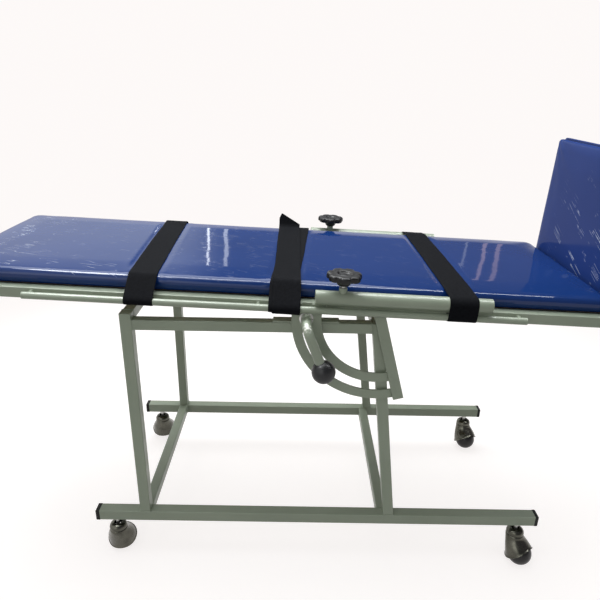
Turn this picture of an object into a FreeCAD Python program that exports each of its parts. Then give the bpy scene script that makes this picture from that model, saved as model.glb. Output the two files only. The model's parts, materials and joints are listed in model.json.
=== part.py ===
import FreeCAD, Part
import math
import os
import re

# Physiotherapy tilt table. Millimetres and degrees, +X towards the foot end, +Z up.
# The origin is on the floor under the middle of the whole object.

# Driving sizes. The base is measured from the head end of its rails, the middle plane and the floor.
# The tabletop is measured from the pivot: u along the table to the foot, v across, w square to it.
SIZES = {
    # Base frame
    "base_length": 1392.0,
    "base_width": 646.0,
    "base_tube": 35.0,
    "base_wall": 2.0,
    "rail_height": 140.0,
    "post_tube": 32.0,
    "upper_tube": 30.0,
    "frame_wall": 1.6,
    "head_post_place": 156.0,
    "head_post_rise": 17.5,
    "foot_post_foot_place": 917.0,
    "foot_post_top_place": 840.0,
    "upper_rail_top": 827.5,
    "foot_crossbar_place": 899.0,
    # Black plugs in the ends of the base rails
    "cap_lip": 12.0,
    "cap_plug": 16.0,
    "cap_gap": 0.1,
    # Pivot between the foot posts and the top
    "pivot_place": 845.0,
    "pivot_rise": 14.5,
    "pivot_drop": 10.0,
    "pivot_pin_radius": 5.0,
    "pivot_fit": 0.05,
    "cheek_radius": 9.0,
    "cheek_thickness": 6.0,
    "cheek_inset": 1.0,
    "barrel_gap": 0.5,
    "rest_tilt": 2.2,
    # Frame of the top
    "frame_overhang": 2.0,
    "side_tube": 30.0,
    "frame_head_inset": 5.0,
    "frame_foot_overhang": 15.0,
    "deck_thickness": 10.0,
    "cross_member_count": 6.0,
    "deck_gap": 0.5,
    # Mattress
    "pad_length": 1830.0,
    "pad_side_inset": 20.0,
    "pad_thickness": 47.7,
    "pad_head_reach": 1195.0,
    "pad_corner": 38.0,
    "pad_edge_round": 20.0,
    "pad_tuck": 7.0,
    "pad_crown": 3.0,
    "pad_crown_inset": 75.0,
    "soft_gap": 0.3,
    # Strap rails along both sides
    "strap_rail_radius": 9.5,
    "strap_rail_wall": 1.5,
    "strap_rail_head_reach": 938.0,
    "strap_rail_foot_reach": 378.0,
    "strap_rail_out": 27.0,
    "strap_rail_low": 10.7,
    "peg_radius": 5.0,
    "peg_inset": 11.0,
    "peg_middle": 330.0,
    "plug_lip": 2.0,
    "plug_depth": 12.0,
    # Accessory sleeves above the strap rails
    "sleeve_radius": 19.0,
    "sleeve_wall": 2.0,
    "sleeve_head_reach": 181.0,
    "sleeve_foot_reach": 283.0,
    "sleeve_out": 20.0,
    "sleeve_near_lift": 24.0,
    "sleeve_far_lift": 17.5,
    "saddle_length": 30.0,
    "saddle_inset": 62.0,
    "saddle_thickness": 14.0,
    # Star knobs that clamp a rod in the sleeves
    "knob_inset": 71.0,
    "knob_radius": 46.0,
    "knob_scallop_count": 7.0,
    "knob_scallop_radius": 13.0,
    "knob_scallop_out": 7.0,
    "knob_thickness": 17.0,
    "knob_dish_radius": 17.0,
    "knob_dish_depth": 5.0,
    "knob_hub_radius": 14.0,
    "knob_skirt_radius": 30.0,
    "knob_hub_height": 15.0,
    "knob_stud_radius": 6.0,
    "knob_near_show": 8.0,
    "knob_far_show": 1.0,
    "nut_radius": 11.0,
    "nut_height": 11.0,
    # Quadrant that the clamp runs in
    "slot_radius": 200.0,
    "slot_width": 26.0,
    "inner_arc_width": 28.0,
    "outer_arc_width": 27.0,
    "arc_thickness": 6.0,
    "arc_top_gap": 2.0,
    "arc_bar_angle": 17.5,
    "arc_bar_width": 30.0,
    "arc_bar_thickness": 15.0,
    "arc_bar_tail": 4.0,
    "arc_bar_head_gap": 3.0,
    # Clamp bracket, bolt and lever
    "clamp_place": 645.0,
    "clamp_plate_length": 180.0,
    "clamp_plate_thickness": 5.0,
    "clamp_bush_radius": 13.4,
    "clamp_bolt_radius": 8.0,
    "clamp_head_height": 10.0,
    "clamp_head_radius": 13.5,
    "washer_radius": 19.0,
    "washer_thickness": 3.0,
    "clamp_gap": 0.3,
    "bolt_reach": 14.0,
    "lever_radius": 13.0,
    "lever_hub_radius": 14.0,
    "lever_hub_length": 17.0,
    "lever_out": 65.0,
    "lever_bend_radius": 28.0,
    "lever_length": 132.5,
    "lever_angle": 21.0,
    "ball_radius": 30.0,
    "ball_socket": 16.0,
    # Straps
    "strap_width": 76.0,
    "strap_thickness": 2.4,
    "strap_tuck": 8.0,
    "strap_shoulder": 12.0,
    "head_strap_place": -657.0,
    "middle_strap_place": -254.0,
    "foot_strap_place": 198.0,
    "tail_near_inset": 100.0,
    "tail_far_inset": 37.0,
    "tail_bend_radius": 16.0,
    "tail_rise": 30.0,
    "tail_lean": 72.0,
    "tail_shift": 8.0,
    # Footboard and its arms
    "footboard_side_inset": 25.0,
    "footboard_bottom": 44.0,
    "footboard_top": 455.0,
    "footboard_stand_off": 3.0,
    "footboard_pad_thickness": 27.7,
    "footboard_pad_round": 9.0,
    "footboard_corner": 14.0,
    "panel_thickness": 12.0,
    "arm_radius": 11.0,
    "arm_wall": 1.6,
    "arm_offset": 180.0,
    "arm_bend_radius": 40.0,
    "arm_head_reach": 374.0,
    "arm_top": 380.0,
    "guide_wall": 2.9,
    "guide_end_inset": 10.0,
    "arm_fit": 0.08,
    "clip_thickness": 2.2,
    "clip_height": 20.0,
    "clip_ear": 15.0,
    "clip_low": 100.0,
    "clip_high": 340.0,
    "clip_gap": 0.05,
    "set_screw_radius": 4.0,
    "set_screw_place": 470.0,
    "set_screw_shank": 8.0,
    "set_screw_head_height": 6.0,
    "set_screw_head_radius": 7.5,
    # Casters
    "caster_inset": 60.0,
    "caster_trail": 28.0,
    "wheel_radius": 37.0,
    "wheel_gap": 2.4,
    "hood_wall": 4.0,
    "hood_skirt": 9.0,
    "hood_mouth_tilt": 36.0,
    "hood_low": 22.0,
    "hood_bell_top": 90.0,
    "hood_neck_radius": 27.0,
    "hood_neck_top": 118.0,
    "hood_collar_radius": 13.0,
    "hood_collar_top": 131.0,
    "axle_radius": 4.0,
    "axle_fit": 0.05,
    "stem_radius": 5.5,
    "stem_low": 92.0,
    "stem_nut_radius": 10.0,
    "stem_nut_height": 8.0,
    "stem_rise": 14.0,
    "head_near_swivel": 92.0,
    "foot_near_swivel": -55.0,
    "head_far_swivel": 100.0,
    "foot_far_swivel": -72.0,
}

# Shares of the sizes that they follow
PAD_PULL_SHARE = 0.45
DOME_SHARE = 0.55
SADDLE_RISE_SHARE = 0.5
BELL_FOOT_SHARE = 0.93

doc = FreeCAD.newDocument("tilt_table")
sheet = doc.addObject("Spreadsheet::Sheet", "Sizes")
for row, (alias, number) in enumerate(SIZES.items(), start=1):
    sheet.set("A%d" % row, alias)
    sheet.set("B%d" % row, str(number))
    sheet.setAlias("B%d" % row, alias)
doc.recompute()


class Values:
    """The sheet's cells as plain numbers."""

    def __getattr__(self, name):
        return float(sheet.get(name))


v = Values()
V = FreeCAD.Vector
X_AXIS = V(1, 0, 0)
Y_AXIS = V(0, 1, 0)
Z_AXIS = V(0, 0, 1)
SIDES = (("near", -1), ("far", 1))

# Places worked out from the driving sizes
rail_top = v.rail_height + v.base_tube
rail_middle = (v.base_width - v.base_tube) / 2
post_out = rail_middle + v.post_tube / 2
upper_out = rail_middle + v.upper_tube / 2
head_post_top = v.upper_rail_top + v.head_post_rise
lean = (v.foot_post_foot_place - v.foot_post_top_place) / (v.upper_rail_top - rail_top)
pivot_height = v.upper_rail_top + v.pivot_rise
side_top = v.pivot_drop + v.side_tube
frame_half = v.base_width / 2 + v.frame_overhang
frame_in = frame_half - v.side_tube
frame_head = v.frame_head_inset - v.pad_head_reach
pad_foot = v.pad_length - v.pad_head_reach
frame_foot = pad_foot + v.frame_foot_overhang
pad_half = frame_half - v.pad_side_inset
board_half = pad_half - v.footboard_side_inset
pad_bottom = side_top + v.soft_gap
pad_top = pad_bottom + v.pad_thickness
deck_bottom = side_top - v.deck_thickness
strap_rail_v = frame_half + v.strap_rail_out
strap_rail_w = side_top - v.strap_rail_low
sleeve_v = frame_half + v.sleeve_out
sleeve_heights = {"near": side_top + v.sleeve_near_lift, "far": side_top + v.sleeve_far_lift}
clamp_height = v.upper_rail_top + v.clamp_plate_thickness + v.clamp_bush_radius
arc_face = frame_half + v.arc_thickness
washer_face = arc_face + v.clamp_gap
hub_face = washer_face + v.washer_thickness + v.clamp_gap
lever_v = hub_face + v.lever_out
footboard_front = pad_foot + v.footboard_stand_off
panel_front = footboard_front + v.footboard_pad_thickness + v.soft_gap
panel_back = panel_front + v.panel_thickness
arm_u = panel_back + v.arm_radius
guide_radius = v.arm_radius + v.arm_fit + v.guide_wall
arm_w = v.pivot_drop - guide_radius
tilt = math.radians(v.rest_tilt)

# The origin stands under the middle of the whole object
clip_radius = v.arm_radius + v.clip_gap + v.clip_thickness
head_end = (v.pivot_place - v.pad_head_reach * math.cos(tilt)
            + (pad_bottom + v.pad_edge_round) * math.sin(tilt))
foot_end = (v.pivot_place + (arm_u + clip_radius) * math.cos(tilt)
            + (v.clip_high + v.clip_height) * math.sin(tilt))
near_end = -(lever_v + v.ball_radius)
far_end = sleeve_v + v.knob_radius
BASE = FreeCAD.Placement(V(-(head_end + foot_end) / 2, -(near_end + far_end) / 2, 0), FreeCAD.Rotation())
PIVOT = FreeCAD.Placement(V(v.pivot_place, 0, pivot_height), FreeCAD.Rotation(Y_AXIS, v.rest_tilt))
TABLE = BASE.multiply(PIVOT)

nodes = []


def bound(text):
    """An expression with each size name pointed at the sheet."""
    return re.sub(r"[a-z_]+", lambda found: "Sizes." + found.group(0) if found.group(0) in SIZES
                  else found.group(0), text)


def primitive(kind, name, **sizes):
    """A Part primitive: sizes given as text follow the sheet, worked-out ones come as numbers."""
    made = doc.addObject("Part::" + kind, name)
    for prop, size in sizes.items():
        if isinstance(size, str):
            made.setExpression(prop, bound(size))
        else:
            setattr(made, prop, size)
    return made


def at(made, x, y, z, axis=None, angle=0.0):
    """Places an object by its own origin, turned about an axis."""
    turn = FreeCAD.Rotation(axis, angle) if axis else FreeCAD.Rotation()
    made.Placement = FreeCAD.Placement(V(x, y, z), turn)
    return made


def box(name, length, width, height):
    return primitive("Box", name, Length=length, Width=width, Height=height)


def cylinder(name, radius, height):
    return primitive("Cylinder", name, Radius=radius, Height=height)


def along_y(made, x, y, z):
    """Lays a cylinder or prism down so that it runs towards +Y from its place."""
    return at(made, x, y, z, X_AXIS, -90)


def along_x(made, x, y, z):
    """Lays a cylinder or prism down so that it runs towards +X from its place."""
    return at(made, x, y, z, Y_AXIS, 90)


def cut(name, base, *tools):
    made = doc.addObject("Part::Cut", name)
    made.Base = base
    made.Tool = tools[0] if len(tools) == 1 else joined(name + "_tools", *tools)
    return made


def joined(name, *pieces):
    made = doc.addObject("Part::MultiFuse", name)
    made.Shapes = list(pieces)
    return made


def shaped(name, shape):
    """A feature for the few forms that no primitive gives."""
    made = doc.addObject("Part::Feature", name)
    made.Shape = shape
    return made


def node(label, frame, *pieces):
    """Ends one sub-part: its solids, in one compound, set in the base's or the top's frame."""
    made = doc.addObject("Part::Compound", label)
    made.Links = list(pieces)
    made.Placement = frame
    nodes.append(made)
    return made


def square_tube(name, axis, length, side, wall, corner):
    """A square tube with open ends, from its low corner along X, Y or Z."""
    bore = side + " - 2 * " + wall
    full = [side, side, side]
    hollow = [bore, bore, bore]
    full["XYZ".index(axis)] = length
    hollow["XYZ".index(axis)] = length
    step = [getattr(v, wall)] * 3
    step["XYZ".index(axis)] = 0
    outer = at(box(name + "_outer", *full), *corner)
    inner = at(box(name + "_bore", *hollow), *(c + s for c, s in zip(corner, step)))
    return cut(name, outer, inner)


def polygon_solid(points, depth, across):
    """A flat outline in the X-Z plane, from y = across, made depth thick towards +Y."""
    corners = [V(x, across, z) for x, z in points]
    face = Part.Face(Part.makePolygon(corners + corners[:1]))
    return face.extrude(V(0, depth, 0))


def slanted_tube(name, points, bore_points, side, across):
    """A tube whose side view is an outline, with open ends where the bore's outline reaches them."""
    outer = polygon_solid(points, side, across - side / 2)
    bore = side - 2 * v.frame_wall
    return shaped(name, outer.cut(polygon_solid(bore_points, bore, across - bore / 2)))


def rounded_section(length, width, corner, height):
    """A rounded rectangle about the Z axis, as one wire."""
    half_l = length / 2
    half_w = width / 2
    bulge = corner * math.sqrt(0.5)
    edges = []
    for sx, sy in ((1, 1), (-1, 1), (-1, -1), (1, -1)):
        centre = V(sx * (half_l - corner), sy * (half_w - corner), height)
        first = V(sx * corner, 0, 0) if sx * sy > 0 else V(0, sy * corner, 0)
        last = V(0, sy * corner, 0) if sx * sy > 0 else V(sx * corner, 0, 0)
        middle = V(sx * bulge, sy * bulge, 0)
        edges.append((centre + first, centre + middle, centre + last))
    wire = []
    for place, (start, middle, end) in enumerate(edges):
        wire.append(Part.Arc(start, middle, end).toShape())
        following = edges[(place + 1) % len(edges)][0]
        wire.append(Part.LineSegment(end, following).toShape())
    return Part.Wire(wire)


def padded_block(length, width, thickness, corner, edge, tuck, crown, crown_inset):
    """An upholstered block: tucked in below, full at mid height, rounded over and crowned on top."""
    pulled = tuck * (1 - PAD_PULL_SHARE) * (1 - PAD_PULL_SHARE)
    rows = [(0.0, tuck), (edge * PAD_PULL_SHARE, pulled), (edge, 0.0), (thickness - crown - edge, 0.0)]
    steps = 3
    for step in range(1, steps + 1):
        turn = math.radians(90 * step / steps)
        rows.append((thickness - crown - edge * (1 - math.sin(turn)), edge * (1 - math.cos(turn))))
    rows.append((thickness, edge + crown_inset))
    wires = []
    for height, inset in rows:
        reach = max(corner - inset, edge)
        wires.append(rounded_section(length - 2 * inset, width - 2 * inset, reach, height))
    return Part.makeLoft(wires, True, True)


# Base: two long rails with black end plugs, drilled for the caster stems
caster_places = (("head", v.caster_inset), ("foot", v.base_length - v.caster_inset))
tube_length = "base_length - 2 * cap_lip"
bore_half = v.base_tube / 2 - v.base_wall
for side, sign in SIDES:
    name = "base_rail_" + side
    middle = sign * rail_middle
    corner = (v.cap_lip, middle - v.base_tube / 2, v.rail_height)
    tube = square_tube(name + "_tube", "X", tube_length, "base_tube", "base_wall", corner)
    holes = []
    for end, place in caster_places:
        hole = cylinder(name + "_hole_" + end, "stem_radius + cap_gap", "base_wall * 2")
        holes.append(at(hole, place, middle, v.rail_height - v.base_wall / 2))
    node(name, BASE, cut(name + "_drilled", tube, *holes))

plugs = []
for side, sign in SIDES:
    for end, place, inward in (("head", 0, 1), ("foot", v.base_length, -1)):
        name = "plug_%s_%s" % (end, side)
        low = sign * rail_middle - v.base_tube / 2
        inset = v.base_wall + v.cap_gap
        lip = box(name + "_lip", "cap_lip", "base_tube", "base_tube")
        at(lip, min(place, place + inward * v.cap_lip), low, v.rail_height)
        core = "base_tube - 2 * base_wall - 2 * cap_gap"
        body = box(name + "_body", "cap_plug", core, core)
        start = place + inward * v.cap_lip
        at(body, min(start, start + inward * v.cap_plug), low + inset, v.rail_height + inset)
        plugs.append(joined(name, lip, body))
node("rail_end_caps", BASE, *plugs)

# Cross tubes low down, between the rails
low_span = "base_width - 2 * base_tube"
low_bars = []
for end, place in (("head", v.head_post_place), ("foot", v.foot_crossbar_place)):
    corner = (place - v.post_tube / 2, v.base_tube - v.base_width / 2, rail_top - v.post_tube)
    low_bars.append(square_tube("low_bar_" + end, "Y", low_span, "post_tube", "frame_wall", corner))
node("base_crossbars", BASE, *low_bars)

# Head posts stand straight, foot posts lean towards the head
post_height = "upper_rail_top + head_post_rise - rail_height - base_tube"
post_bore = "post_tube - 2 * frame_wall"
for side, sign in SIDES:
    name = "head_post_" + side
    corner = (v.head_post_place - v.post_tube / 2, sign * rail_middle - v.post_tube / 2, rail_top)
    lid = box(name + "_lid", post_bore, post_bore, "2 * frame_wall")
    step = v.frame_wall
    at(lid, corner[0] + step, corner[1] + step, head_post_top - 2 * v.frame_wall)
    tube = square_tube(name + "_tube", "Z", post_height, "post_tube", "frame_wall", corner)
    node(name, BASE, joined(name + "_closed", tube, lid))
    name = "foot_post_" + side
    foot = v.foot_post_foot_place
    top = v.foot_post_top_place
    half = v.post_tube / 2
    hollow = half - v.frame_wall
    lid = v.upper_rail_top - 2 * v.frame_wall
    under = top + lean * 2 * v.frame_wall
    outline = [(foot - half, rail_top), (foot + half, rail_top),
               (top + half, v.upper_rail_top), (top - half, v.upper_rail_top)]
    inside = [(foot - hollow, rail_top), (foot + hollow, rail_top),
              (under + hollow, lid), (under - hollow, lid)]
    node(name, BASE, slanted_tube(name + "_tube", outline, inside, v.post_tube, sign * rail_middle))

# Upper rails run from the head posts to the slanting face of the foot posts
rail_low = v.upper_rail_top - v.upper_tube
rail_start = v.head_post_place + v.post_tube / 2
rail_stop = v.foot_post_top_place - v.post_tube / 2
for side, sign in SIDES:
    name = "upper_rail_" + side
    wall = v.frame_wall
    outline = [(rail_start, rail_low), (rail_stop + lean * v.upper_tube, rail_low),
               (rail_stop, v.upper_rail_top), (rail_start, v.upper_rail_top)]
    inside = [(rail_start, rail_low + wall), (rail_stop + lean * (v.upper_tube - wall), rail_low + wall),
              (rail_stop + lean * wall, v.upper_rail_top - wall), (rail_start, v.upper_rail_top - wall)]
    node(name, BASE, slanted_tube(name + "_tube", outline, inside, v.upper_tube, sign * rail_middle))

# Cross tubes at the top of the posts
top_span = "base_width - base_tube - post_tube"
span_start = v.post_tube / 2 - rail_middle
foot_bar = v.foot_post_top_place + lean * v.upper_tube / 2
for end, place, top in (("head", v.head_post_place, head_post_top), ("foot", foot_bar, v.upper_rail_top)):
    name = "top_crossbar_" + end
    corner = (place - v.upper_tube / 2, span_start, top - v.upper_tube)
    node(name, BASE, square_tube(name + "_tube", "Y", top_span, "upper_tube", "frame_wall", corner))

# Pivot: two rounded cheeks on each foot post, a pin through them and a barrel under the top
post_half = v.post_tube / 2
cheek_out = post_half - v.cheek_inset
cheeks = []
pins = []
barrels = []
for side, sign in SIDES:
    middle = sign * rail_middle
    for place, low in (("outer", cheek_out - v.cheek_thickness), ("inner", -cheek_out)):
        name = "cheek_%s_%s" % (side, place)
        start = middle + low
        foot = box(name + "_foot", "2 * cheek_radius", "cheek_thickness", "pivot_rise")
        at(foot, v.pivot_place - v.cheek_radius, start, v.upper_rail_top)
        crown = cylinder(name + "_crown", "cheek_radius", "cheek_thickness")
        along_y(crown, v.pivot_place, start, pivot_height)
        hole = cylinder(name + "_hole", "pivot_pin_radius + pivot_fit", "4 * cheek_thickness")
        along_y(hole, v.pivot_place, start - v.cheek_thickness, pivot_height)
        cheeks.append(cut(name, joined(name + "_plate", foot, crown), hole))
    pin = cylinder("pin_" + side, "pivot_pin_radius", "post_tube - 2 * cheek_inset")
    pins.append(along_y(pin, v.pivot_place, middle - cheek_out, pivot_height))
    name = "barrel_" + side
    reach = cheek_out - v.cheek_thickness - v.barrel_gap
    length = "post_tube - 2 * cheek_inset - 2 * cheek_thickness - 2 * barrel_gap"
    round_part = along_y(cylinder(name + "_round", "pivot_drop", length), 0, middle - reach, 0)
    seat = box(name + "_seat", "cheek_radius", length, "pivot_drop")
    at(seat, -v.cheek_radius / 2, middle - reach, 0)
    bore = cylinder(name + "_bore", "pivot_pin_radius + pivot_fit", "post_tube")
    along_y(bore, 0, middle - post_half, 0)
    barrels.append(cut(name, joined(name + "_body", round_part, seat), bore))
node("pivot_cheeks", BASE, *cheeks)
node("pivot_pins", BASE, *pins)
node("pivot_barrels", TABLE, *barrels)

# Frame of the top: two side rails, two end rails, cross members and the deck board on them
frame_span = "pad_length - frame_head_inset + frame_foot_overhang"
for side, sign in SIDES:
    name = "side_rail_" + side
    low = min(sign * frame_half, sign * frame_in)
    corner = (frame_head, low, v.pivot_drop)
    node(name, TABLE, square_tube(name + "_tube", "X", frame_span, "side_tube", "frame_wall", corner))

inner_span = "base_width + 2 * frame_overhang - 2 * side_tube"
end_bars = []
for end, start in (("head", frame_head), ("foot", frame_foot - v.side_tube)):
    corner = (start, -frame_in, v.pivot_drop)
    end_bars.append(square_tube("end_bar_" + end, "Y", inner_span, "side_tube", "frame_wall", corner))
node("end_rails", TABLE, *end_bars)

member_pitch = (frame_foot - frame_head - v.side_tube) / (v.cross_member_count + 1)
members = []
for place in range(1, int(v.cross_member_count) + 1):
    name = "cross_member_%d" % place
    start = frame_head + place * member_pitch
    outer = box(name + "_outer", "side_tube", inner_span, "side_tube - deck_thickness")
    inner = box(name + "_bore", "side_tube - 2 * frame_wall", inner_span,
                "side_tube - deck_thickness - 2 * frame_wall")
    at(outer, start, -frame_in, v.pivot_drop)
    at(inner, start + v.frame_wall, -frame_in, v.pivot_drop + v.frame_wall)
    members.append(cut(name, outer, inner))
last_member = frame_head + v.cross_member_count * member_pitch
node("cross_members", TABLE, *members)

deck = box("deck", "pad_length - frame_head_inset + frame_foot_overhang - 2 * side_tube - 2 * deck_gap",
           inner_span + " - 2 * deck_gap", "deck_thickness")
at(deck, frame_head + v.side_tube + v.deck_gap, v.deck_gap - frame_in, deck_bottom)
node("deck_board", TABLE, deck)

# Mattress: one long upholstered pad with rounded corners
mattress = padded_block(v.pad_length, 2 * pad_half, v.pad_thickness, v.pad_corner, v.pad_edge_round,
                        v.pad_tuck, v.pad_crown, v.pad_crown_inset)
mattress.translate(V(pad_foot - v.pad_length / 2, 0, pad_bottom))
node("mattress", TABLE, shaped("mattress_pad", mattress))

# Strap rails with pegs and end plugs
rail_span = "strap_rail_head_reach + strap_rail_foot_reach"
pegs = []
rail_plugs = []
for side, sign in SIDES:
    name = "strap_rail_" + side
    outer = cylinder(name + "_outer", "strap_rail_radius", rail_span)
    inner = cylinder(name + "_inner", "strap_rail_radius - strap_rail_wall", rail_span)
    for tube in (outer, inner):
        along_x(tube, -v.strap_rail_head_reach, sign * strap_rail_v, strap_rail_w)
    node(name, TABLE, cut(name + "_tube", outer, inner))
    places = (-v.strap_rail_head_reach + v.peg_inset, -v.peg_middle, v.strap_rail_foot_reach - v.peg_inset)
    for count, place in enumerate(places, start=1):
        name = "peg_%s_%d" % (side, count)
        peg = cylinder(name + "_rod", "peg_radius", "strap_rail_out")
        along_y(peg, place, min(sign * frame_half, sign * strap_rail_v), strap_rail_w)
        keep_off = cylinder(name + "_seat", "strap_rail_radius", "4 * peg_radius")
        along_x(keep_off, place - 2 * v.peg_radius, sign * strap_rail_v, strap_rail_w)
        pegs.append(cut(name, peg, keep_off))
    plug_bore = "strap_rail_radius - strap_rail_wall - cap_gap"
    ends = (("head", -v.strap_rail_head_reach, -1), ("foot", v.strap_rail_foot_reach, 1))
    for end, place, outward in ends:
        name = "rail_plug_%s_%s" % (end, side)
        cap = cylinder(name + "_cap", "strap_rail_radius", "plug_lip")
        along_x(cap, min(place, place + outward * v.plug_lip), sign * strap_rail_v, strap_rail_w)
        stopper = cylinder(name + "_stopper", plug_bore, "plug_depth")
        along_x(stopper, min(place, place - outward * v.plug_depth), sign * strap_rail_v, strap_rail_w)
        rail_plugs.append(joined(name, cap, stopper))
node("strap_rail_pegs", TABLE, *pegs)
node("strap_rail_plugs", TABLE, *rail_plugs)

# Accessory sleeves, each on two saddles, with a threaded nut for its star knob
knob_u = v.knob_inset - v.sleeve_head_reach
sleeve_span = "sleeve_head_reach + sleeve_foot_reach"
saddles = []
nuts = []
for side, sign in SIDES:
    name = "sleeve_" + side
    sleeve_w = sleeve_heights[side]
    outer = cylinder(name + "_outer", "sleeve_radius", sleeve_span)
    inner = cylinder(name + "_inner", "sleeve_radius - sleeve_wall", sleeve_span)
    for tube in (outer, inner):
        along_x(tube, -v.sleeve_head_reach, sign * sleeve_v, sleeve_w)
    hole = cylinder(name + "_hole", "knob_stud_radius + pivot_fit", "2 * sleeve_radius")
    at(hole, knob_u, sign * sleeve_v, sleeve_w)
    node(name, TABLE, cut(name + "_tube", outer, inner, hole))
    places = (v.saddle_inset - v.sleeve_head_reach - v.saddle_length, v.sleeve_foot_reach - v.saddle_inset)
    for count, start in enumerate(places, start=1):
        name = "saddle_%s_%d" % (side, count)
        leg = box(name + "_leg", "saddle_length", "saddle_thickness",
                  "side_tube / 2 + sleeve_%s_lift * %g" % (side, SADDLE_RISE_SHARE))
        low = min(sign * frame_half, sign * (frame_half + v.saddle_thickness))
        at(leg, start, low, side_top - v.side_tube / 2)
        seat = cylinder(name + "_seat", "sleeve_radius", "2 * saddle_length")
        along_x(seat, start - v.saddle_length / 2, sign * sleeve_v, sleeve_w)
        saddles.append(cut(name, leg, seat))
    name = "sleeve_nut_" + side
    block = cylinder(name + "_block", "nut_radius", "sleeve_radius + nut_height")
    thread = cylinder(name + "_thread", "knob_stud_radius + pivot_fit", "2 * sleeve_radius + nut_height")
    for piece in (block, thread):
        at(piece, knob_u, sign * sleeve_v, sleeve_w)
    seat = cylinder(name + "_seat", "sleeve_radius", "4 * nut_radius")
    along_x(seat, knob_u - 2 * v.nut_radius, sign * sleeve_v, sleeve_w)
    nuts.append(cut(name, block, thread, seat))
node("sleeve_saddles", TABLE, *saddles)
node("sleeve_nuts", TABLE, *nuts)

# Star knobs: a scalloped head on a conical hub, screwed on a stud
for side, sign in SIDES:
    name = "star_knob_" + side
    show = "knob_%s_show" % side
    nut_top = sleeve_heights[side] + v.sleeve_radius + v.nut_height
    hub_low = nut_top + getattr(v, show)
    head_low = hub_low + v.knob_hub_height
    head = at(cylinder(name + "_head", "knob_radius", "knob_thickness"), knob_u, sign * sleeve_v, head_low)
    hub = primitive("Cone", name + "_hub", Radius1="knob_hub_radius", Radius2="knob_skirt_radius",
                    Height="knob_hub_height")
    at(hub, knob_u, sign * sleeve_v, hub_low)
    cutters = []
    for count in range(int(v.knob_scallop_count)):
        turn = 2 * math.pi * count / v.knob_scallop_count - math.pi / 2
        reach = v.knob_radius + v.knob_scallop_out
        cutter = cylinder("%s_scallop_%d" % (name, count), "knob_scallop_radius",
                          "knob_thickness + knob_hub_height")
        cutters.append(at(cutter, knob_u + reach * math.cos(turn),
                          sign * sleeve_v + reach * math.sin(turn), hub_low))
    dish = cylinder(name + "_dish", "knob_dish_radius", "2 * knob_dish_depth")
    at(dish, knob_u, sign * sleeve_v, head_low + v.knob_thickness - v.knob_dish_depth)
    node(name, TABLE, cut(name + "_cut", joined(name + "_whole", head, hub), dish, *cutters))
    name = "knob_stud_" + side
    stud = cylinder(name + "_rod", "knob_stud_radius", "sleeve_wall + nut_height + " + show)
    node(name, TABLE, at(stud, knob_u, sign * sleeve_v, nut_top - v.nut_height - v.sleeve_wall))

# Quadrant: two concentric strips and a straight bar, welded to the near side rail
bar_turn = math.radians(270 + v.arc_bar_angle)
bar_along = V(math.cos(bar_turn), 0, math.sin(bar_turn))
bar_headward = V(math.sin(bar_turn), 0, -math.cos(bar_turn))
bar_half = v.arc_bar_width / 2
slot_half = v.slot_width / 2


def on_circle(radius, turn):
    return V(radius * math.cos(turn), 0, radius * math.sin(turn))


def arc_strip(inner, outer):
    """A strip that hangs from the side rail, bends round the pivot and stops at the bar."""
    top = side_top - v.arc_top_gap
    ends = [bar_turn - math.asin(bar_half / radius) for radius in (outer, inner)]
    middles = [(math.pi + end) / 2 for end in ends]
    edges = [Part.LineSegment(V(-outer, 0, top), V(-outer, 0, 0)),
             Part.Arc(V(-outer, 0, 0), on_circle(outer, middles[0]), on_circle(outer, ends[0])),
             Part.LineSegment(on_circle(outer, ends[0]), on_circle(inner, ends[1])),
             Part.Arc(on_circle(inner, ends[1]), on_circle(inner, middles[1]), V(-inner, 0, 0)),
             Part.LineSegment(V(-inner, 0, 0), V(-inner, 0, top)),
             Part.LineSegment(V(-inner, 0, top), V(-outer, 0, top))]
    face = Part.Face(Part.Wire([edge.toShape() for edge in edges]))
    face.translate(V(0, -arc_face, 0))
    return face.extrude(V(0, v.arc_thickness, 0))


inner_in = v.slot_radius - slot_half - v.inner_arc_width
outer_out = v.slot_radius + slot_half + v.outer_arc_width
node("quadrant_inner_arc", TABLE, shaped("inner_arc", arc_strip(inner_in, v.slot_radius - slot_half)))
node("quadrant_outer_arc", TABLE, shaped("outer_arc", arc_strip(v.slot_radius + slot_half, outer_out)))

bar_top = strap_rail_w - v.strap_rail_radius - v.arc_bar_head_gap
corners = []
for offset in (bar_half, -bar_half):
    reach = (bar_top - offset * bar_headward.z) / bar_along.z
    corners.append(bar_headward * offset + bar_along * reach)
for offset in (-bar_half, bar_half):
    corners.append(bar_headward * offset + bar_along * (outer_out + v.arc_bar_tail))
bar = polygon_solid([(corner.x, corner.z) for corner in corners], v.arc_bar_thickness,
                    -frame_half - v.arc_bar_thickness)
node("quadrant_bar", TABLE, shaped("arc_bar", bar))

# Clamp bracket on the near upper rail: a plate with a bush that carries the clamp bolt
name = "clamp_bracket"
plate = box(name + "_plate", "clamp_plate_length", "upper_tube", "clamp_plate_thickness")
at(plate, v.clamp_place - v.clamp_plate_length / 2, -upper_out, v.upper_rail_top)
bush = cylinder(name + "_bush", "clamp_bush_radius", "upper_tube")
along_y(bush, v.clamp_place, -upper_out, clamp_height)
seat = box(name + "_seat", "clamp_bush_radius", "upper_tube", "clamp_bush_radius")
at(seat, v.clamp_place - v.clamp_bush_radius / 2, -upper_out, clamp_height - v.clamp_bush_radius)
hole = cylinder(name + "_hole", "clamp_bolt_radius + pivot_fit", "2 * upper_tube")
along_y(hole, v.clamp_place, -upper_out - v.upper_tube / 2, clamp_height)
node(name, BASE, cut(name + "_body", joined(name + "_whole", plate, bush, seat), hole))

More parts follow.
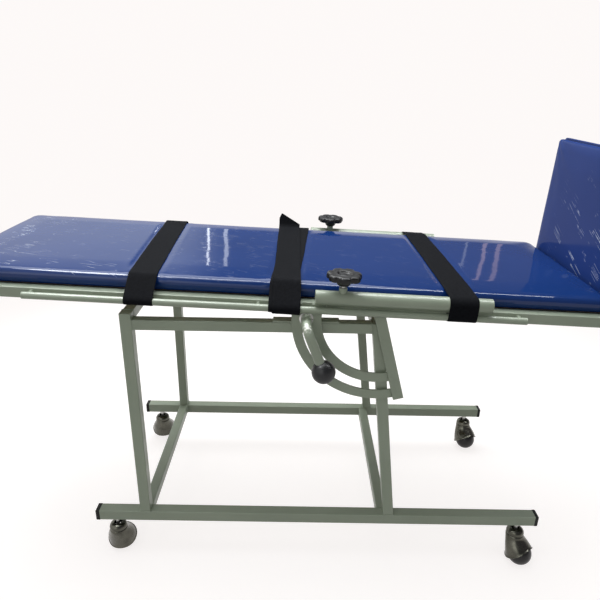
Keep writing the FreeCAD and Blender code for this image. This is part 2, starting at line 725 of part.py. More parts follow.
name = "clamp_bolt"
bolt_end = hub_face + v.bolt_reach
shank = cylinder(name + "_shank", "clamp_bolt_radius",
                 "frame_overhang + base_tube / 2 + upper_tube / 2 + arc_thickness + 2 * clamp_gap"
                 " + washer_thickness + bolt_reach")
along_y(shank, v.clamp_place, -bolt_end, clamp_height)
head = primitive("Prism", name + "_head", Circumradius="clamp_head_radius", Height="clamp_head_height")
along_y(head, v.clamp_place, v.upper_tube - upper_out, clamp_height)
washer = cylinder(name + "_washer", "washer_radius", "washer_thickness")
washer_hole = cylinder(name + "_washer_hole", "clamp_bolt_radius + pivot_fit", "3 * washer_thickness")
along_y(washer, v.clamp_place, -washer_face - v.washer_thickness, clamp_height)
along_y(washer_hole, v.clamp_place, -washer_face - 2 * v.washer_thickness, clamp_height)
node(name, BASE, joined(name + "_whole", shank, head), cut(name + "_ring", washer, washer_hole))

# Clamp lever: a hub on the bolt, a tube bent down from it and a ball knob
lever_turn = math.radians(v.lever_angle)
lever_down = V(math.sin(lever_turn), 0, -math.cos(lever_turn))
lever_root = V(v.clamp_place, -hub_face - v.lever_hub_length / 2, clamp_height)
lever_knee = V(v.clamp_place, v.lever_bend_radius - lever_v, clamp_height)
knee_centre = lever_knee + lever_down * v.lever_bend_radius
knee_middle = knee_centre + (V(0, -1, 0) - lever_down) * (v.lever_bend_radius * math.sqrt(0.5))
knee_end = V(v.clamp_place, -lever_v, clamp_height) + lever_down * v.lever_bend_radius
socket_end = v.lever_length - v.ball_radius + v.ball_socket
lever_tip = V(v.clamp_place, -lever_v, clamp_height) + lever_down * socket_end
lever_path = Part.Wire([Part.LineSegment(lever_root, lever_knee).toShape(),
                        Part.Arc(lever_knee, knee_middle, knee_end).toShape(),
                        Part.LineSegment(knee_end, lever_tip).toShape()])
lever_ring = Part.Wire(Part.Circle(lever_root, Y_AXIS, v.lever_radius).toShape())
lever_sweep = shaped("lever_sweep", lever_path.makePipeShell([lever_ring], True, False))
hub = cylinder("lever_hub", "lever_hub_radius", "lever_hub_length")
along_y(hub, v.clamp_place, -hub_face - v.lever_hub_length, clamp_height)
thread = cylinder("lever_thread", "clamp_bolt_radius + pivot_fit", "2 * bolt_reach")
along_y(thread, v.clamp_place, -bolt_end - v.clamp_gap, clamp_height)
node("lever_tube", BASE, cut("lever_body", joined("lever_whole", lever_sweep, hub), thread))

ball_centre = V(v.clamp_place, -lever_v, clamp_height) + lever_down * v.lever_length
ball = at(primitive("Sphere", "ball", Radius="ball_radius"), *ball_centre)
socket = cylinder("ball_bore", "lever_radius", "2 * ball_socket")
socket.Placement = FreeCAD.Placement(lever_tip, FreeCAD.Rotation(Z_AXIS, lever_down * -1))
node("lever_ball", BASE, cut("ball_knob", ball, socket))


# Straps: each lies on the mattress and folds under the strap rails on both sides
def wrap_edges(circles, grow):
    """Half of a strap's edge line in the v-w plane, taut round circles of (v, w, radius)."""
    rings = [(V(0, across, up), radius + grow) for across, up, radius in circles]
    turns = [math.pi / 2]
    for (first, first_radius), (second, second_radius) in zip(rings, rings[1:]):
        gap = second - first
        turns.append(math.atan2(gap.z, gap.y) + math.acos((first_radius - second_radius) / gap.Length))
    turns.append(-math.pi)
    edges = []
    last = V(0, 0, rings[0][0].z + rings[0][1])
    for place, (centre, radius) in enumerate(rings):
        spots = []
        for share in (0.0, 0.5, 1.0):
            turn = turns[place] + share * (turns[place + 1] - turns[place])
            spots.append(centre + V(0, radius * math.cos(turn), radius * math.sin(turn)))
        edges.append(Part.LineSegment(last, spots[0]))
        edges.append(Part.Arc(*spots))
        last = spots[2]
    edges.append(Part.LineSegment(last, last + V(0, 0, v.strap_tuck)))
    return edges, last + V(0, 0, v.strap_tuck)


def half_strap(circles, middle):
    """The half of a strap on the far side, from the middle of the mattress round the circles."""
    inner, inner_tip = wrap_edges(circles, v.soft_gap)
    outer, outer_tip = wrap_edges(circles, v.soft_gap + v.strap_thickness)
    top = circles[0][1] + circles[0][2] + v.soft_gap
    outline = inner + [Part.LineSegment(inner_tip, outer_tip)] + outer
    outline.append(Part.LineSegment(V(0, 0, top), V(0, 0, top + v.strap_thickness)))
    wires = Part.sortEdges([edge.toShape() for edge in outline])
    face = Part.Face(Part.Wire(wires[0]))
    face.translate(V(middle - v.strap_width / 2, 0, 0))
    return face.extrude(V(v.strap_width, 0, 0))


def strap(near, far, middle):
    """A whole strap as one band, from the circles that it passes on the near and the far side."""
    return half_strap(far, middle).fuse(half_strap(near, middle).mirror(V(0, 0, 0), Y_AXIS)).removeSplitter()


shoulder = (pad_half - v.strap_shoulder, pad_top - v.strap_shoulder, v.strap_shoulder)
rail_turn = (strap_rail_v, strap_rail_w, v.strap_rail_radius)
plain = (shoulder, rail_turn)
over_near, over_far = [(shoulder, (sleeve_v, sleeve_heights[side], v.sleeve_radius), rail_turn)
                       for side in ("near", "far")]
node("head_strap", TABLE, shaped("head_band", strap(plain, plain, v.head_strap_place)))
node("middle_strap", TABLE, shaped("middle_band", strap(plain, plain, v.middle_strap_place)))
node("foot_strap", TABLE, shaped("foot_band", strap(over_near, over_far, v.foot_strap_place)))

# The middle strap's overlapping layer, with its free end standing up at the far edge
tail_low = pad_top + 2 * v.soft_gap + v.strap_thickness
tail_turn = math.radians(v.tail_lean)
tail_out = V(0, math.cos(tail_turn), math.sin(tail_turn))
tail_centre = V(0, pad_half - v.tail_far_inset, tail_low + v.strap_thickness + v.tail_bend_radius)
layers = []
for radius in (v.tail_bend_radius, v.tail_bend_radius + v.strap_thickness):
    spots = []
    for share in (0.0, 0.5, 1.0):
        turn = share * tail_turn - math.pi / 2
        spots.append(tail_centre + V(0, radius * math.cos(turn), radius * math.sin(turn)))
    start = V(0, v.tail_near_inset - pad_half, spots[0].z)
    tip = spots[2] + tail_out * v.tail_rise
    layers.append((start, tip, [Part.LineSegment(start, spots[0]), Part.Arc(*spots),
                                Part.LineSegment(spots[2], tip)]))
outline = layers[0][2] + layers[1][2]
outline.append(Part.LineSegment(layers[0][0], layers[1][0]))
outline.append(Part.LineSegment(layers[0][1], layers[1][1]))
tail_face = Part.Face(Part.Wire(Part.sortEdges([edge.toShape() for edge in outline])[0]))
tail_face.translate(V(v.middle_strap_place + v.tail_shift - v.strap_width / 2, 0, 0))
node("middle_strap_tail", TABLE, shaped("tail_band", tail_face.extrude(V(v.strap_width, 0, 0))))

# Footboard: upholstered front on a board, carried by two bent arms that slide in guides
board_height = v.footboard_top - v.footboard_bottom
board_middle = (v.footboard_top + v.footboard_bottom) / 2
front = padded_block(board_height, 2 * board_half, v.footboard_pad_thickness, v.footboard_corner,
                     v.footboard_pad_round, v.footboard_pad_round * PAD_PULL_SHARE, v.pad_crown,
                     v.pad_crown_inset)
plate = Part.Face(rounded_section(board_height, 2 * board_half, v.footboard_corner, 0))
plate = plate.extrude(V(0, 0, v.panel_thickness))
upright = FreeCAD.Rotation(Y_AXIS, -90)
cushion = shaped("footboard_cushion", front)
cushion.Placement = FreeCAD.Placement(V(panel_front - v.soft_gap, 0, board_middle), upright)
board = shaped("footboard_plate", plate)
board.Placement = FreeCAD.Placement(V(panel_back, 0, board_middle), upright)
node("footboard_pad", TABLE, cushion)
node("footboard_panel", TABLE, board)


def arm_sweep(radius, across):
    """A round bar along an arm's line: level under the frame, then up behind the board."""
    start = V(v.arm_head_reach, across, arm_w)
    bend = V(arm_u - v.arm_bend_radius, across, arm_w)
    centre = bend + V(0, 0, v.arm_bend_radius)
    middle = centre + V(1, 0, -1) * (v.arm_bend_radius * math.sqrt(0.5))
    rise = V(arm_u, across, arm_w + v.arm_bend_radius)
    path = Part.Wire([Part.LineSegment(start, bend).toShape(), Part.Arc(bend, middle, rise).toShape(),
                      Part.LineSegment(rise, V(arm_u, across, v.arm_top)).toShape()])
    ring = Part.Wire(Part.Circle(start, X_AXIS, radius).toShape())
    return path.makePipeShell([ring], True, False)


arms = []
guides = []
screws = []
clips = []
guide_span = frame_foot - v.guide_end_inset - last_member
for side, sign in SIDES:
    across = sign * v.arm_offset
    arm = arm_sweep(v.arm_radius, across).cut(arm_sweep(v.arm_radius - v.arm_wall, across))
    arms.append(shaped("arm_" + side, arm))
    name = "guide_" + side
    tube = cylinder(name + "_tube", "arm_radius + arm_fit + guide_wall", guide_span)
    bore = cylinder(name + "_bore", "arm_radius + arm_fit", guide_span)
    for piece in (tube, bore):
        along_x(piece, last_member, across, arm_w)
    hole = cylinder(name + "_hole", "set_screw_radius + arm_fit", "arm_radius + 2 * guide_wall")
    at(hole, v.set_screw_place, across, arm_w - v.arm_radius - 2 * v.guide_wall)
    guides.append(cut(name, tube, bore, hole))
    name = "set_screw_" + side
    nut_low = arm_w - guide_radius - v.set_screw_head_height
    shank_low = nut_low - v.set_screw_shank
    nut = cylinder(name + "_nut", "set_screw_head_radius", "set_screw_head_height + arm_radius")
    at(nut, v.set_screw_place, across, nut_low)
    seat = cylinder(name + "_seat", "arm_radius + arm_fit + guide_wall", "4 * set_screw_head_radius")
    along_x(seat, v.set_screw_place - 2 * v.set_screw_head_radius, across, arm_w)
    thread = cylinder(name + "_thread", "set_screw_radius + arm_fit", "2 * arm_radius + set_screw_shank")
    at(thread, v.set_screw_place, across, shank_low)
    screws.append(cut(name + "_block", nut, seat, thread))
    shank = cylinder(name + "_shank", "set_screw_radius",
                     "guide_wall + set_screw_head_height + set_screw_shank")
    at(shank, v.set_screw_place, across, shank_low)
    head = primitive("Prism", name + "_head", Circumradius="set_screw_head_radius",
                     Height="set_screw_head_height")
    at(head, v.set_screw_place, across, shank_low - v.set_screw_head_height)
    screws.append(joined(name + "_bolt", shank, head))
    for level, low in (("low", v.clip_low), ("high", v.clip_high)):
        name = "clip_%s_%s" % (side, level)
        ring = at(cylinder(name + "_ring", "arm_radius + clip_gap + clip_thickness", "clip_height"),
                  arm_u, across, low)
        legs = box(name + "_legs", "arm_radius", "2 * arm_radius + 2 * clip_gap + 2 * clip_thickness",
                   "clip_height")
        at(legs, panel_back, across - clip_radius, low)
        ears = box(name + "_ears", "clip_thickness",
                   "2 * arm_radius + 2 * clip_gap + 2 * clip_thickness + 2 * clip_ear", "clip_height")
        at(ears, panel_back, across - clip_radius - v.clip_ear, low)
        bore = at(cylinder(name + "_bore", "arm_radius + clip_gap", "2 * clip_height"),
                  arm_u, across, low - v.clip_height / 2)
        keep_off = box(name + "_slot", "arm_radius", "2 * arm_radius + 2 * clip_gap", "2 * clip_height")
        at(keep_off, panel_back, across - v.arm_radius - v.clip_gap, low - v.clip_height / 2)
        behind = box(name + "_behind", "2 * clip_thickness + arm_radius", "4 * arm_radius",
                     "2 * clip_height")
        at(behind, panel_back - 2 * v.clip_thickness - v.arm_radius, across - 2 * v.arm_radius,
           low - v.clip_height / 2)
        clips.append(cut(name, joined(name + "_whole", ring, legs, ears), bore, keep_off, behind))
node("footboard_arms", TABLE, *arms)
node("footboard_guides", TABLE, *guides)
node("guide_set_screws", TABLE, *screws)
node("footboard_clips", TABLE, *clips)

# Casters: a stem in the rail, a hood that swivels on it and a ball wheel on the hood's axle
hood_radius = v.wheel_radius + v.wheel_gap + v.hood_wall
stems = []
for end, place in caster_places:
    for side, sign in SIDES:
        middle = sign * rail_middle
        key = "%s_%s" % (end, side)
        shaft = cylinder("stem_shaft_" + key, "stem_radius", "rail_height + stem_rise - stem_low")
        nut = cylinder("stem_nut_" + key, "stem_nut_radius", "stem_nut_height")
        at(shaft, place, middle, v.stem_low)
        at(nut, place, middle, v.rail_height - v.stem_nut_height)
        stems.append(joined("stem_" + key, shaft, nut))
        swivel = FreeCAD.Rotation(Z_AXIS, getattr(v, key + "_swivel"))
        spot = BASE.multiply(FreeCAD.Placement(V(place, middle, 0), swivel))
        name = "caster_hood_" + key
        dome = at(primitive("Sphere", name + "_dome", Radius="wheel_radius + wheel_gap + hood_wall"),
                  v.caster_trail, 0, v.wheel_radius)
        dome_height = v.hood_neck_radius * DOME_SHARE
        neck = cylinder(name + "_neck", "hood_neck_radius",
                        "hood_neck_top - hood_bell_top - hood_neck_radius * %g" % DOME_SHARE)
        at(neck, 0, 0, v.hood_bell_top)
        rims = [Part.Circle(V(v.caster_trail, 0, v.wheel_radius), Z_AXIS, hood_radius * BELL_FOOT_SHARE),
                Part.Circle(V(0, 0, v.hood_bell_top), Z_AXIS, v.hood_neck_radius)]
        bell = shaped(name + "_bell", Part.makeLoft([Part.Wire(rim.toShape()) for rim in rims], True, True))
        crown = primitive("Ellipsoid", name + "_crown", Radius1="hood_neck_radius * %g" % DOME_SHARE,
                          Radius2="hood_neck_radius")
        at(crown, 0, 0, v.hood_neck_top - dome_height)
        collar = cylinder(name + "_collar", "hood_collar_radius",
                          "hood_collar_top - hood_neck_top + hood_neck_radius * %g" % DOME_SHARE)
        at(collar, 0, 0, v.hood_neck_top - dome_height)
        room = at(primitive("Sphere", name + "_room", Radius="wheel_radius + wheel_gap"),
                  v.caster_trail, 0, v.wheel_radius)
        stem_bore = cylinder(name + "_bore", "stem_radius + axle_fit", "hood_collar_top")
        at(stem_bore, 0, 0, v.stem_low - v.wheel_gap)
        mouth = box(name + "_mouth", "4 * wheel_radius", "4 * wheel_radius", "4 * wheel_radius")
        mouth_turn = FreeCAD.Rotation(Y_AXIS, -v.hood_mouth_tilt)
        mouth_centre = V(v.caster_trail, 0, v.wheel_radius - v.hood_skirt)
        corner = mouth_turn.multVec(V(-2 * v.wheel_radius, -2 * v.wheel_radius, -4 * v.wheel_radius))
        mouth.Placement = FreeCAD.Placement(mouth_centre + corner, mouth_turn)
        under = box(name + "_under", "8 * wheel_radius", "8 * wheel_radius", "4 * wheel_radius")
        at(under, -4 * v.wheel_radius, -4 * v.wheel_radius, v.hood_low - 4 * v.wheel_radius)
        axle_hole = cylinder(name + "_axle_hole", "axle_radius", "4 * wheel_radius")
        along_y(axle_hole, v.caster_trail, -2 * v.wheel_radius, v.wheel_radius)
        whole = joined(name + "_whole", dome, bell, neck, crown, collar)
        hood = cut(name + "_shell", whole, room, stem_bore, mouth, under, axle_hole)
        axle = cylinder(name + "_axle", "axle_radius", "2 * wheel_radius + 2 * wheel_gap + hood_wall")
        along_y(axle, v.caster_trail, -v.wheel_radius - v.wheel_gap - v.hood_wall / 2, v.wheel_radius)
        node(name, spot, hood, axle)
        name = "caster_wheel_" + key
        ball = primitive("Sphere", name + "_ball", Radius="wheel_radius")
        at(ball, v.caster_trail, 0, v.wheel_radius)
        bore = cylinder(name + "_bore", "axle_radius + axle_fit", "4 * wheel_radius")
        along_y(bore, v.caster_trail, -2 * v.wheel_radius, v.wheel_radius)
        node(name, spot, cut(name + "_whole", ball, bore))
node("caster_stems", BASE, *stems)

# Every object has to be sound before anything is written
doc.recompute()
faults = [made.Name for made in doc.Objects if "Invalid" in made.State or "Error" in made.State]
for made in nodes:
    if made.Shape.isNull() or not made.Shape.isValid() or not made.Shape.Solids:
        faults.append(made.Label)
if faults:
    raise RuntimeError("not sound: " + ", ".join(faults))
os.makedirs("parts", exist_ok=True)
for made in nodes:
    made.Shape.exportStep("parts/%s.step" % made.Label)
print("%d sub-parts" % len(nodes))
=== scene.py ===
# %% [markdown]
# # Physiotherapy tilt table
# A long upholstered top on a wheeled tube frame. The solids come from CAD and already have
# the right size and place. This lesson dresses them: rounded tube edges, weld beads, vinyl
# cushions swollen by a cloth simulation, webbing straps, moulded knobs and a soft studio.
# Loading comes first. The CAD box is kept.
# %% Load the frame and keep its size
import json
import math

import bmesh
import bpy
import numpy as np
from mathutils import Matrix, Vector, noise


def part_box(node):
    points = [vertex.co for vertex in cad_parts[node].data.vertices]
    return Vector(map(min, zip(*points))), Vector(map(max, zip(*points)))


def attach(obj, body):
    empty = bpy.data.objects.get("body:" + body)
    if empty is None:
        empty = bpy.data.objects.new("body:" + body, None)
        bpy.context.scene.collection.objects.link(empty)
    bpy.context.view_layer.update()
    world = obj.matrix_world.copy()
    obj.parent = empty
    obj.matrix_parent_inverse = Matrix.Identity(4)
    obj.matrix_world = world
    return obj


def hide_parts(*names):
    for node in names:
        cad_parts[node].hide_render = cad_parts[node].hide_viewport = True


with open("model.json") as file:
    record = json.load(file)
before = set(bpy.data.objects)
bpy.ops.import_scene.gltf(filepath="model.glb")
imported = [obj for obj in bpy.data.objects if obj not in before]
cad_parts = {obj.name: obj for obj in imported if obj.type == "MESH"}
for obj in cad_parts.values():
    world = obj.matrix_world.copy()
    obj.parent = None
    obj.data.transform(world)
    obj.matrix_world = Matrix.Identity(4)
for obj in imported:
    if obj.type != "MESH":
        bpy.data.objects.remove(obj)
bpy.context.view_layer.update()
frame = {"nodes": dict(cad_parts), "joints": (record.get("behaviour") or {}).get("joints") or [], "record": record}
scene = bpy.context.scene

# %% [markdown]
# The top leans 2.2 degrees, and everything on it is easier to think of square to it. So there
# is a second set of axes: u along the table to the foot, v across it, w up out of it, with
# the origin on the pivot. The joints already hold those directions. A piece is built in u, v
# and w, and its mesh is turned into the frame's axes at the end.
# %% Axes of the top
MM = 0.001
joints = {joint["name"]: joint for joint in frame["joints"]}
pivot = Vector(joints["tilt_hinge"]["pos_m"])
along = Vector(joints["footboard_slide"]["axis"])
upward = Vector(joints["knob_near_turn"]["axis"])
TOP = Matrix.Translation(pivot) @ Matrix((along, (0, 1, 0), upward)).transposed().to_4x4()
FLAT = Matrix.Identity(4)


def top_box(node):
    """Lowest and highest corner of a CAD node in the axes of the top."""
    back = TOP.inverted()
    spots = np.array([back @ vertex.co for vertex in frame["nodes"][node].data.vertices])
    return spots.min(0), spots.max(0)


pad_low, pad_high = top_box("mattress")
print("mattress in the top's axes", np.round(pad_low, 3), np.round(pad_high, 3))

# %% [markdown]
# Every finish is made of noise, waves and mixed colours, with no pictures. Small helpers keep
# that short. One adds a shader node and sets or feeds its sockets by name, and one starts a
# material with the values that are the same all over. Others place a texture on the piece,
# make a cloud of noise there, turn it into colours, feed the shader with them, and press the
# cloud into the surface as a bump. The rest work values out, as sums and mixes.
# %% Helpers for finishes
def wire(tree, socket, value):
    """Feeds a socket from another node, or sets it to a plain value."""
    if isinstance(value, bpy.types.NodeSocket):
        tree.links.new(value, socket)
    else:
        socket.default_value = value


def add(tree, kind, **values):
    """A name with a capital is one of the node's sockets, any other its own setting."""
    node = tree.nodes.new("ShaderNode" + kind)
    for key, value in values.items():
        if key[0].isupper():
            wire(tree, node.inputs[key.replace("_", " ")], value)
        else:
            setattr(node, key, value)
    return node


def finish(name, roughness, metallic=0.0, **sockets):
    material = bpy.data.materials.new(name)
    material.use_nodes = True
    shader = material.node_tree.nodes["Principled BSDF"]
    for key, value in {"Roughness": roughness, "Metallic": metallic, **sockets}.items():
        shader.inputs[key.replace("_", " ")].default_value = value
    return material, material.node_tree, shader


def place(tree, scale=(1, 1, 1), turn=(0, 0, 0), source="Object"):
    """Coordinates of the piece itself, stretched and turned for one texture."""
    spot = add(tree, "TexCoord").outputs[source]
    return add(tree, "Mapping", Scale=scale, Rotation=turn, Vector=spot).outputs[0]


def cloud(tree, scale, detail=3.0, where=None, rough=0.5):
    return add(tree, "TexNoise", Scale=scale, Detail=detail, Roughness=rough,
               Vector=where or place(tree)).outputs[0]


def ramp(tree, value, stops):
    """Turns a value into a colour or a grey level between a few stops."""
    node = add(tree, "ValToRGB")
    while len(node.color_ramp.elements) < len(stops):
        node.color_ramp.elements.new(0.5)
    for element, (spot, color) in zip(node.color_ramp.elements, stops):
        element.position = spot
        element.color = (*color, 1) if hasattr(color, "__len__") else (color, color, color, 1)
    tree.links.new(value, node.inputs[0])
    return node.outputs[0]


def shades(color, dark, light):
    """Stops for a ramp that makes a colour a little darker here and lighter there."""
    return [(0.3, [dark * part for part in color]), (0.55, color),
            (0.8, [light * part for part in color])]


def vary(tree, shader, socket, value, stops):
    """One of the shader's sockets follows a cloud, or another value, by way of a ramp."""
    tree.links.new(ramp(tree, value, stops), shader.inputs[socket])


def bump(tree, shader, height, strength, distance, socket="Normal", after=None):
    node = add(tree, "Bump", Strength=strength, Distance=distance, Height=height)
    if after is not None:
        tree.links.new(after, node.inputs["Normal"])
    tree.links.new(node.outputs[0], shader.inputs[socket])
    return node.outputs[0]


def maths(tree, first, second, operation="MULTIPLY"):
    node = add(tree, "Math", operation=operation)
    wire(tree, node.inputs[0], first)
    wire(tree, node.inputs[1], second)
    return node.outputs[0]


def mixed(tree, amount, first, second, kind="RGBA"):
    """Two colours, or two values where kind is FLOAT, mixed by an amount."""
    node = add(tree, "Mix", data_type=kind)
    low, high, out = (6, 7, 2) if kind == "RGBA" else (2, 3, 0)
    for socket, value in ((0, amount), (low, first), (high, second)):
        wire(tree, node.inputs[socket], value)
    return node.outputs[out]


def one_axis(tree, axis, where=None):
    """One coordinate of a place on the piece, or of another vector."""
    return add(tree, "SeparateXYZ", Vector=where or place(tree)).outputs[axis]


def scaled(tree, value, low, high, **more):
    """0 where the value is low, 1 where it is high, and in proportion between."""
    return add(tree, "MapRange", Value=value, From_Min=low, From_Max=high, **more).outputs[0]


# %% [markdown]
# The frame is steel tube in a sage grey powder coat. Powder melts into a skin like orange
# peel, so a fine bump breaks up the shine. A slow cloud makes the colour a little uneven, and
# a second, sharper one leaves a few duller patches, as handling does.
# %% Powder coat
SAGE = (0.294, 0.338, 0.250)


def powder_coat(name, peel=0.12):
    material, tree, shader = finish(name, 0.42, Coat_Weight=0.12, Coat_Roughness=0.24)
    vary(tree, shader, "Base Color", cloud(tree, 5.0, 4.0), shades(SAGE, 0.90, 1.05))
    vary(tree, shader, "Roughness", cloud(tree, 22.0, 5.0), [(0.35, 0.36), (0.7, 0.52)])
    bump(tree, shader, cloud(tree, 900.0, 2.0), peel, 0.0002)
    return material, tree, shader


PAINT = powder_coat("powder_coat")[0]
WELD = powder_coat("powder_coat_on_weld", peel=0.4)[0]
print("finishes", len(bpy.data.materials))

# %% [markdown]
# The clamp lever is painted too, but its bend is where every hand lands, and there the paint
# has rubbed down to bright steel. A distance from the bend, roughened by noise, decides where
# paint ends and metal begins.
# %% Worn paint on the lever
BRIGHT_STEEL = {"Base Color": (0.66, 0.65, 0.61, 1), "Metallic": 0.65, "Roughness": 0.46}
clamp_pos = Vector(joints["lever_turn"]["pos_m"])
bend_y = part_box("lever_tube")[0].y + 0.018
worn_spot = Vector((clamp_pos.x + 0.003, bend_y, clamp_pos.z - 0.004))
WORN, tree, shader = powder_coat("powder_coat_worn")
distance = add(tree, "VectorMath", operation="DISTANCE")
distance.inputs[1].default_value = worn_spot
tree.links.new(place(tree), distance.inputs[0])
ragged = maths(tree, cloud(tree, 160.0, 5.0), 0.030)
edge = maths(tree, distance.outputs["Value"], ragged, "ADD")
bare = ramp(tree, maths(tree, edge, 10.0), [(0.22, 0.85), (0.29, 0.0)])
for name, steel in BRIGHT_STEEL.items():
    socket = shader.inputs[name]
    painted = socket.links[0].from_socket if socket.links else socket.default_value
    kind = "RGBA" if name == "Base Color" else "FLOAT"
    tree.links.new(mixed(tree, bare, painted, steel, kind), socket)
print("worn spot", [round(part, 3) for part in worn_spot])

# %% [markdown]
# The upholstery is royal blue vinyl: a coloured skin with a clear, glossy top. Its base colour
# is deep, and the pale sheen on the top comes from the room mirrored at a flat angle. A soft
# grain and slow waves bend that mirror image. The new cover has a taut shine with fine creases,
# at the head end and along its edges, and in short strokes across the footboard. Their bump
# is in the clear top, and their pale colour is painted highlight, for the glints on them.
# Creases are where a stretched noise crosses its middle value, so they are thin broken lines.
# %% Vinyl
# pale colour of the painted highlight on the creases
CREASE_GLINT_PALE = (0.62, 0.68, 0.80, 1)


def vinyl(name, deep, sheen, clear, creases, where, glint_paleness, patches=(0.50, 0.60)):
    """creases turns and then stretches the crease pattern, where masks the places that have it."""
    material, tree, shader = finish(name, 0.3, Coat_Weight=clear[0], Coat_Roughness=clear[1],
                                    Specular_IOR_Level=0.0)
    tone = ramp(tree, cloud(tree, 3.0, 3.0), shades(deep, 0.92, 1.08))
    vary(tree, shader, "Roughness", cloud(tree, 9.0, 4.0), [(0.3, sheen), (0.7, sheen * 1.5)])
    slow = bump(tree, shader, cloud(tree, 14.0, 2.0), 0.30, 0.0010)
    bump(tree, shader, cloud(tree, 1500.0, 2.0), 0.10, 0.0001, after=slow)
    stretch, turn = creases
    stretched = add(tree, "Mapping", Scale=stretch, Vector=place(tree, turn=turn)).outputs[0]
    ridge = maths(tree, cloud(tree, 1.0, 1.2, stretched, 0.4), 0.5, "SUBTRACT")
    ridge = maths(tree, maths(tree, ridge, ridge), 330.0)
    line = ramp(tree, ridge, [(0.0, 1.0), (0.05, 0.35), (0.16, 0.0)])
    patchy = ramp(tree, cloud(tree, 21.0, 3.0), [(patches[0], 0.0), (patches[1], 1.0)])
    height = maths(tree, maths(tree, line, where(tree)), patchy)
    bump(tree, shader, height, 0.6, 0.0018, "Coat Normal", slow)
    # the crease lines are mixed pale into the base colour: painted highlight, for the glints of light on them
    color = mixed(tree, maths(tree, height, glint_paleness), tone, CREASE_GLINT_PALE)
    tree.links.new(color, shader.inputs["Base Color"])
    return material


def between(tree, axis, low, high):
    """A share that goes from 0 to 1 between two places on one axis."""
    return scaled(tree, one_axis(tree, axis), low, high)


def head_creases_and_glints(tree):
    """Where creases and their painted highlight go: strong at the head end and along the near edge there, on faces
    that look up.
    """
    end = maths(tree, between(tree, 0, -0.66, -0.88), 0.9)
    edge = maths(tree, between(tree, 1, -0.19, -0.25), between(tree, 0, -0.35, -0.55))
    faint = maths(tree, between(tree, 0, 0.9, -0.4), 0.10)
    strong = maths(tree, maths(tree, end, edge, "MAXIMUM"), faint, "MAXIMUM")
    facing = one_axis(tree, 2, add(tree, "TexCoord").outputs["Normal"])
    return maths(tree, strong, scaled(tree, facing, 0.45, 0.8))


def board_creases_and_glints(tree):
    """Where creases and their painted highlight go: strong over the lower middle of the footboard and its near
    half.
    """
    return maths(tree, between(tree, 2, 1.22, 1.08), between(tree, 1, 0.20, 0.02))


VINYL_TOP = vinyl("vinyl_top", (0.007, 0.033, 0.155), 0.24, (0.60, 0.045),
                  ((13.0, 62.0, 20.0), (0, 0, 0.25)), head_creases_and_glints, 0.75)
VINYL_BOARD = vinyl("vinyl_footboard", (0.020, 0.046, 0.190), 0.28, (0.26, 0.10),
                    ((10.0, 1.6, 74.0), (-0.42, 0.0, 0.0)), board_creases_and_glints, 0.80, (0.53, 0.62))
print("finishes", len(bpy.data.materials))

# %% [markdown]
# Webbing is woven: thick ribs of warp across, thin weft along. The straps get a flat map of
# their own, in metres, so that the weave follows them round every bend.
# %% Webbing
def webbing(name):
    material, tree, shader = finish(name, 0.85, Specular_IOR_Level=0.04)
    flat = place(tree, source="UV")
    vary(tree, shader, "Base Color", cloud(tree, 120.0, 6.0, flat, 0.7), [
        (0.3, (0.0045, 0.0047, 0.006)), (0.6, (0.0075, 0.008, 0.010)),
        (0.85, (0.015, 0.016, 0.019))])
    waves = []
    for direction, scale in (("X", 150.0), ("Y", 230.0)):
        waves.append(add(tree, "TexWave", bands_direction=direction, Scale=scale,
                         Distortion=0.4, Detail=1.0, Vector=flat).outputs[1])
    weave = maths(tree, *waves)
    fuzz = bump(tree, shader, cloud(tree, 1400.0, 4.0, flat), 0.3, 0.0003)
    bump(tree, shader, weave, 0.7, 0.0005, after=fuzz)
    return material


WEBBING = webbing("webbing")

# %% [markdown]
# Plastics, plated steel and plywood remain. The knobs are moulded with a slightly rough skin,
# the casters' hoods have a dark bright plate with smudges, the bolts are zinc with a faint
# brushed streak, and the ply under the top shows its grain inside a dark rim of painted shade.
# %% Plastics, metals and wood
def moulded(name, low, high, roughness, grain=0.25, size=700.0, shine=0.32):
    material, tree, shader = finish(name, roughness, Specular_IOR_Level=shine)
    vary(tree, shader, "Base Color", cloud(tree, 35.0, 6.0, rough=0.65),
         [(0.35, low), (0.75, high)])
    vary(tree, shader, "Roughness", cloud(tree, 45.0, 4.0),
         [(0.3, roughness * 0.85), (0.7, roughness * 1.2)])
    bump(tree, shader, cloud(tree, size, 3.0), grain, 0.0003)
    return material


def plated(name, low, high, roughness, streak=(1, 1, 1)):
    material, tree, shader = finish(name, roughness, metallic=1.0)
    vary(tree, shader, "Base Color", cloud(tree, 26.0, 5.0), [(0.3, low), (0.7, high)])
    vary(tree, shader, "Roughness", cloud(tree, 60.0, 5.0, place(tree, streak)),
         [(0.3, roughness * 0.7), (0.75, roughness * 1.7)])
    bump(tree, shader, cloud(tree, 500.0, 3.0, place(tree, streak)), 0.08, 0.0002)
    return material


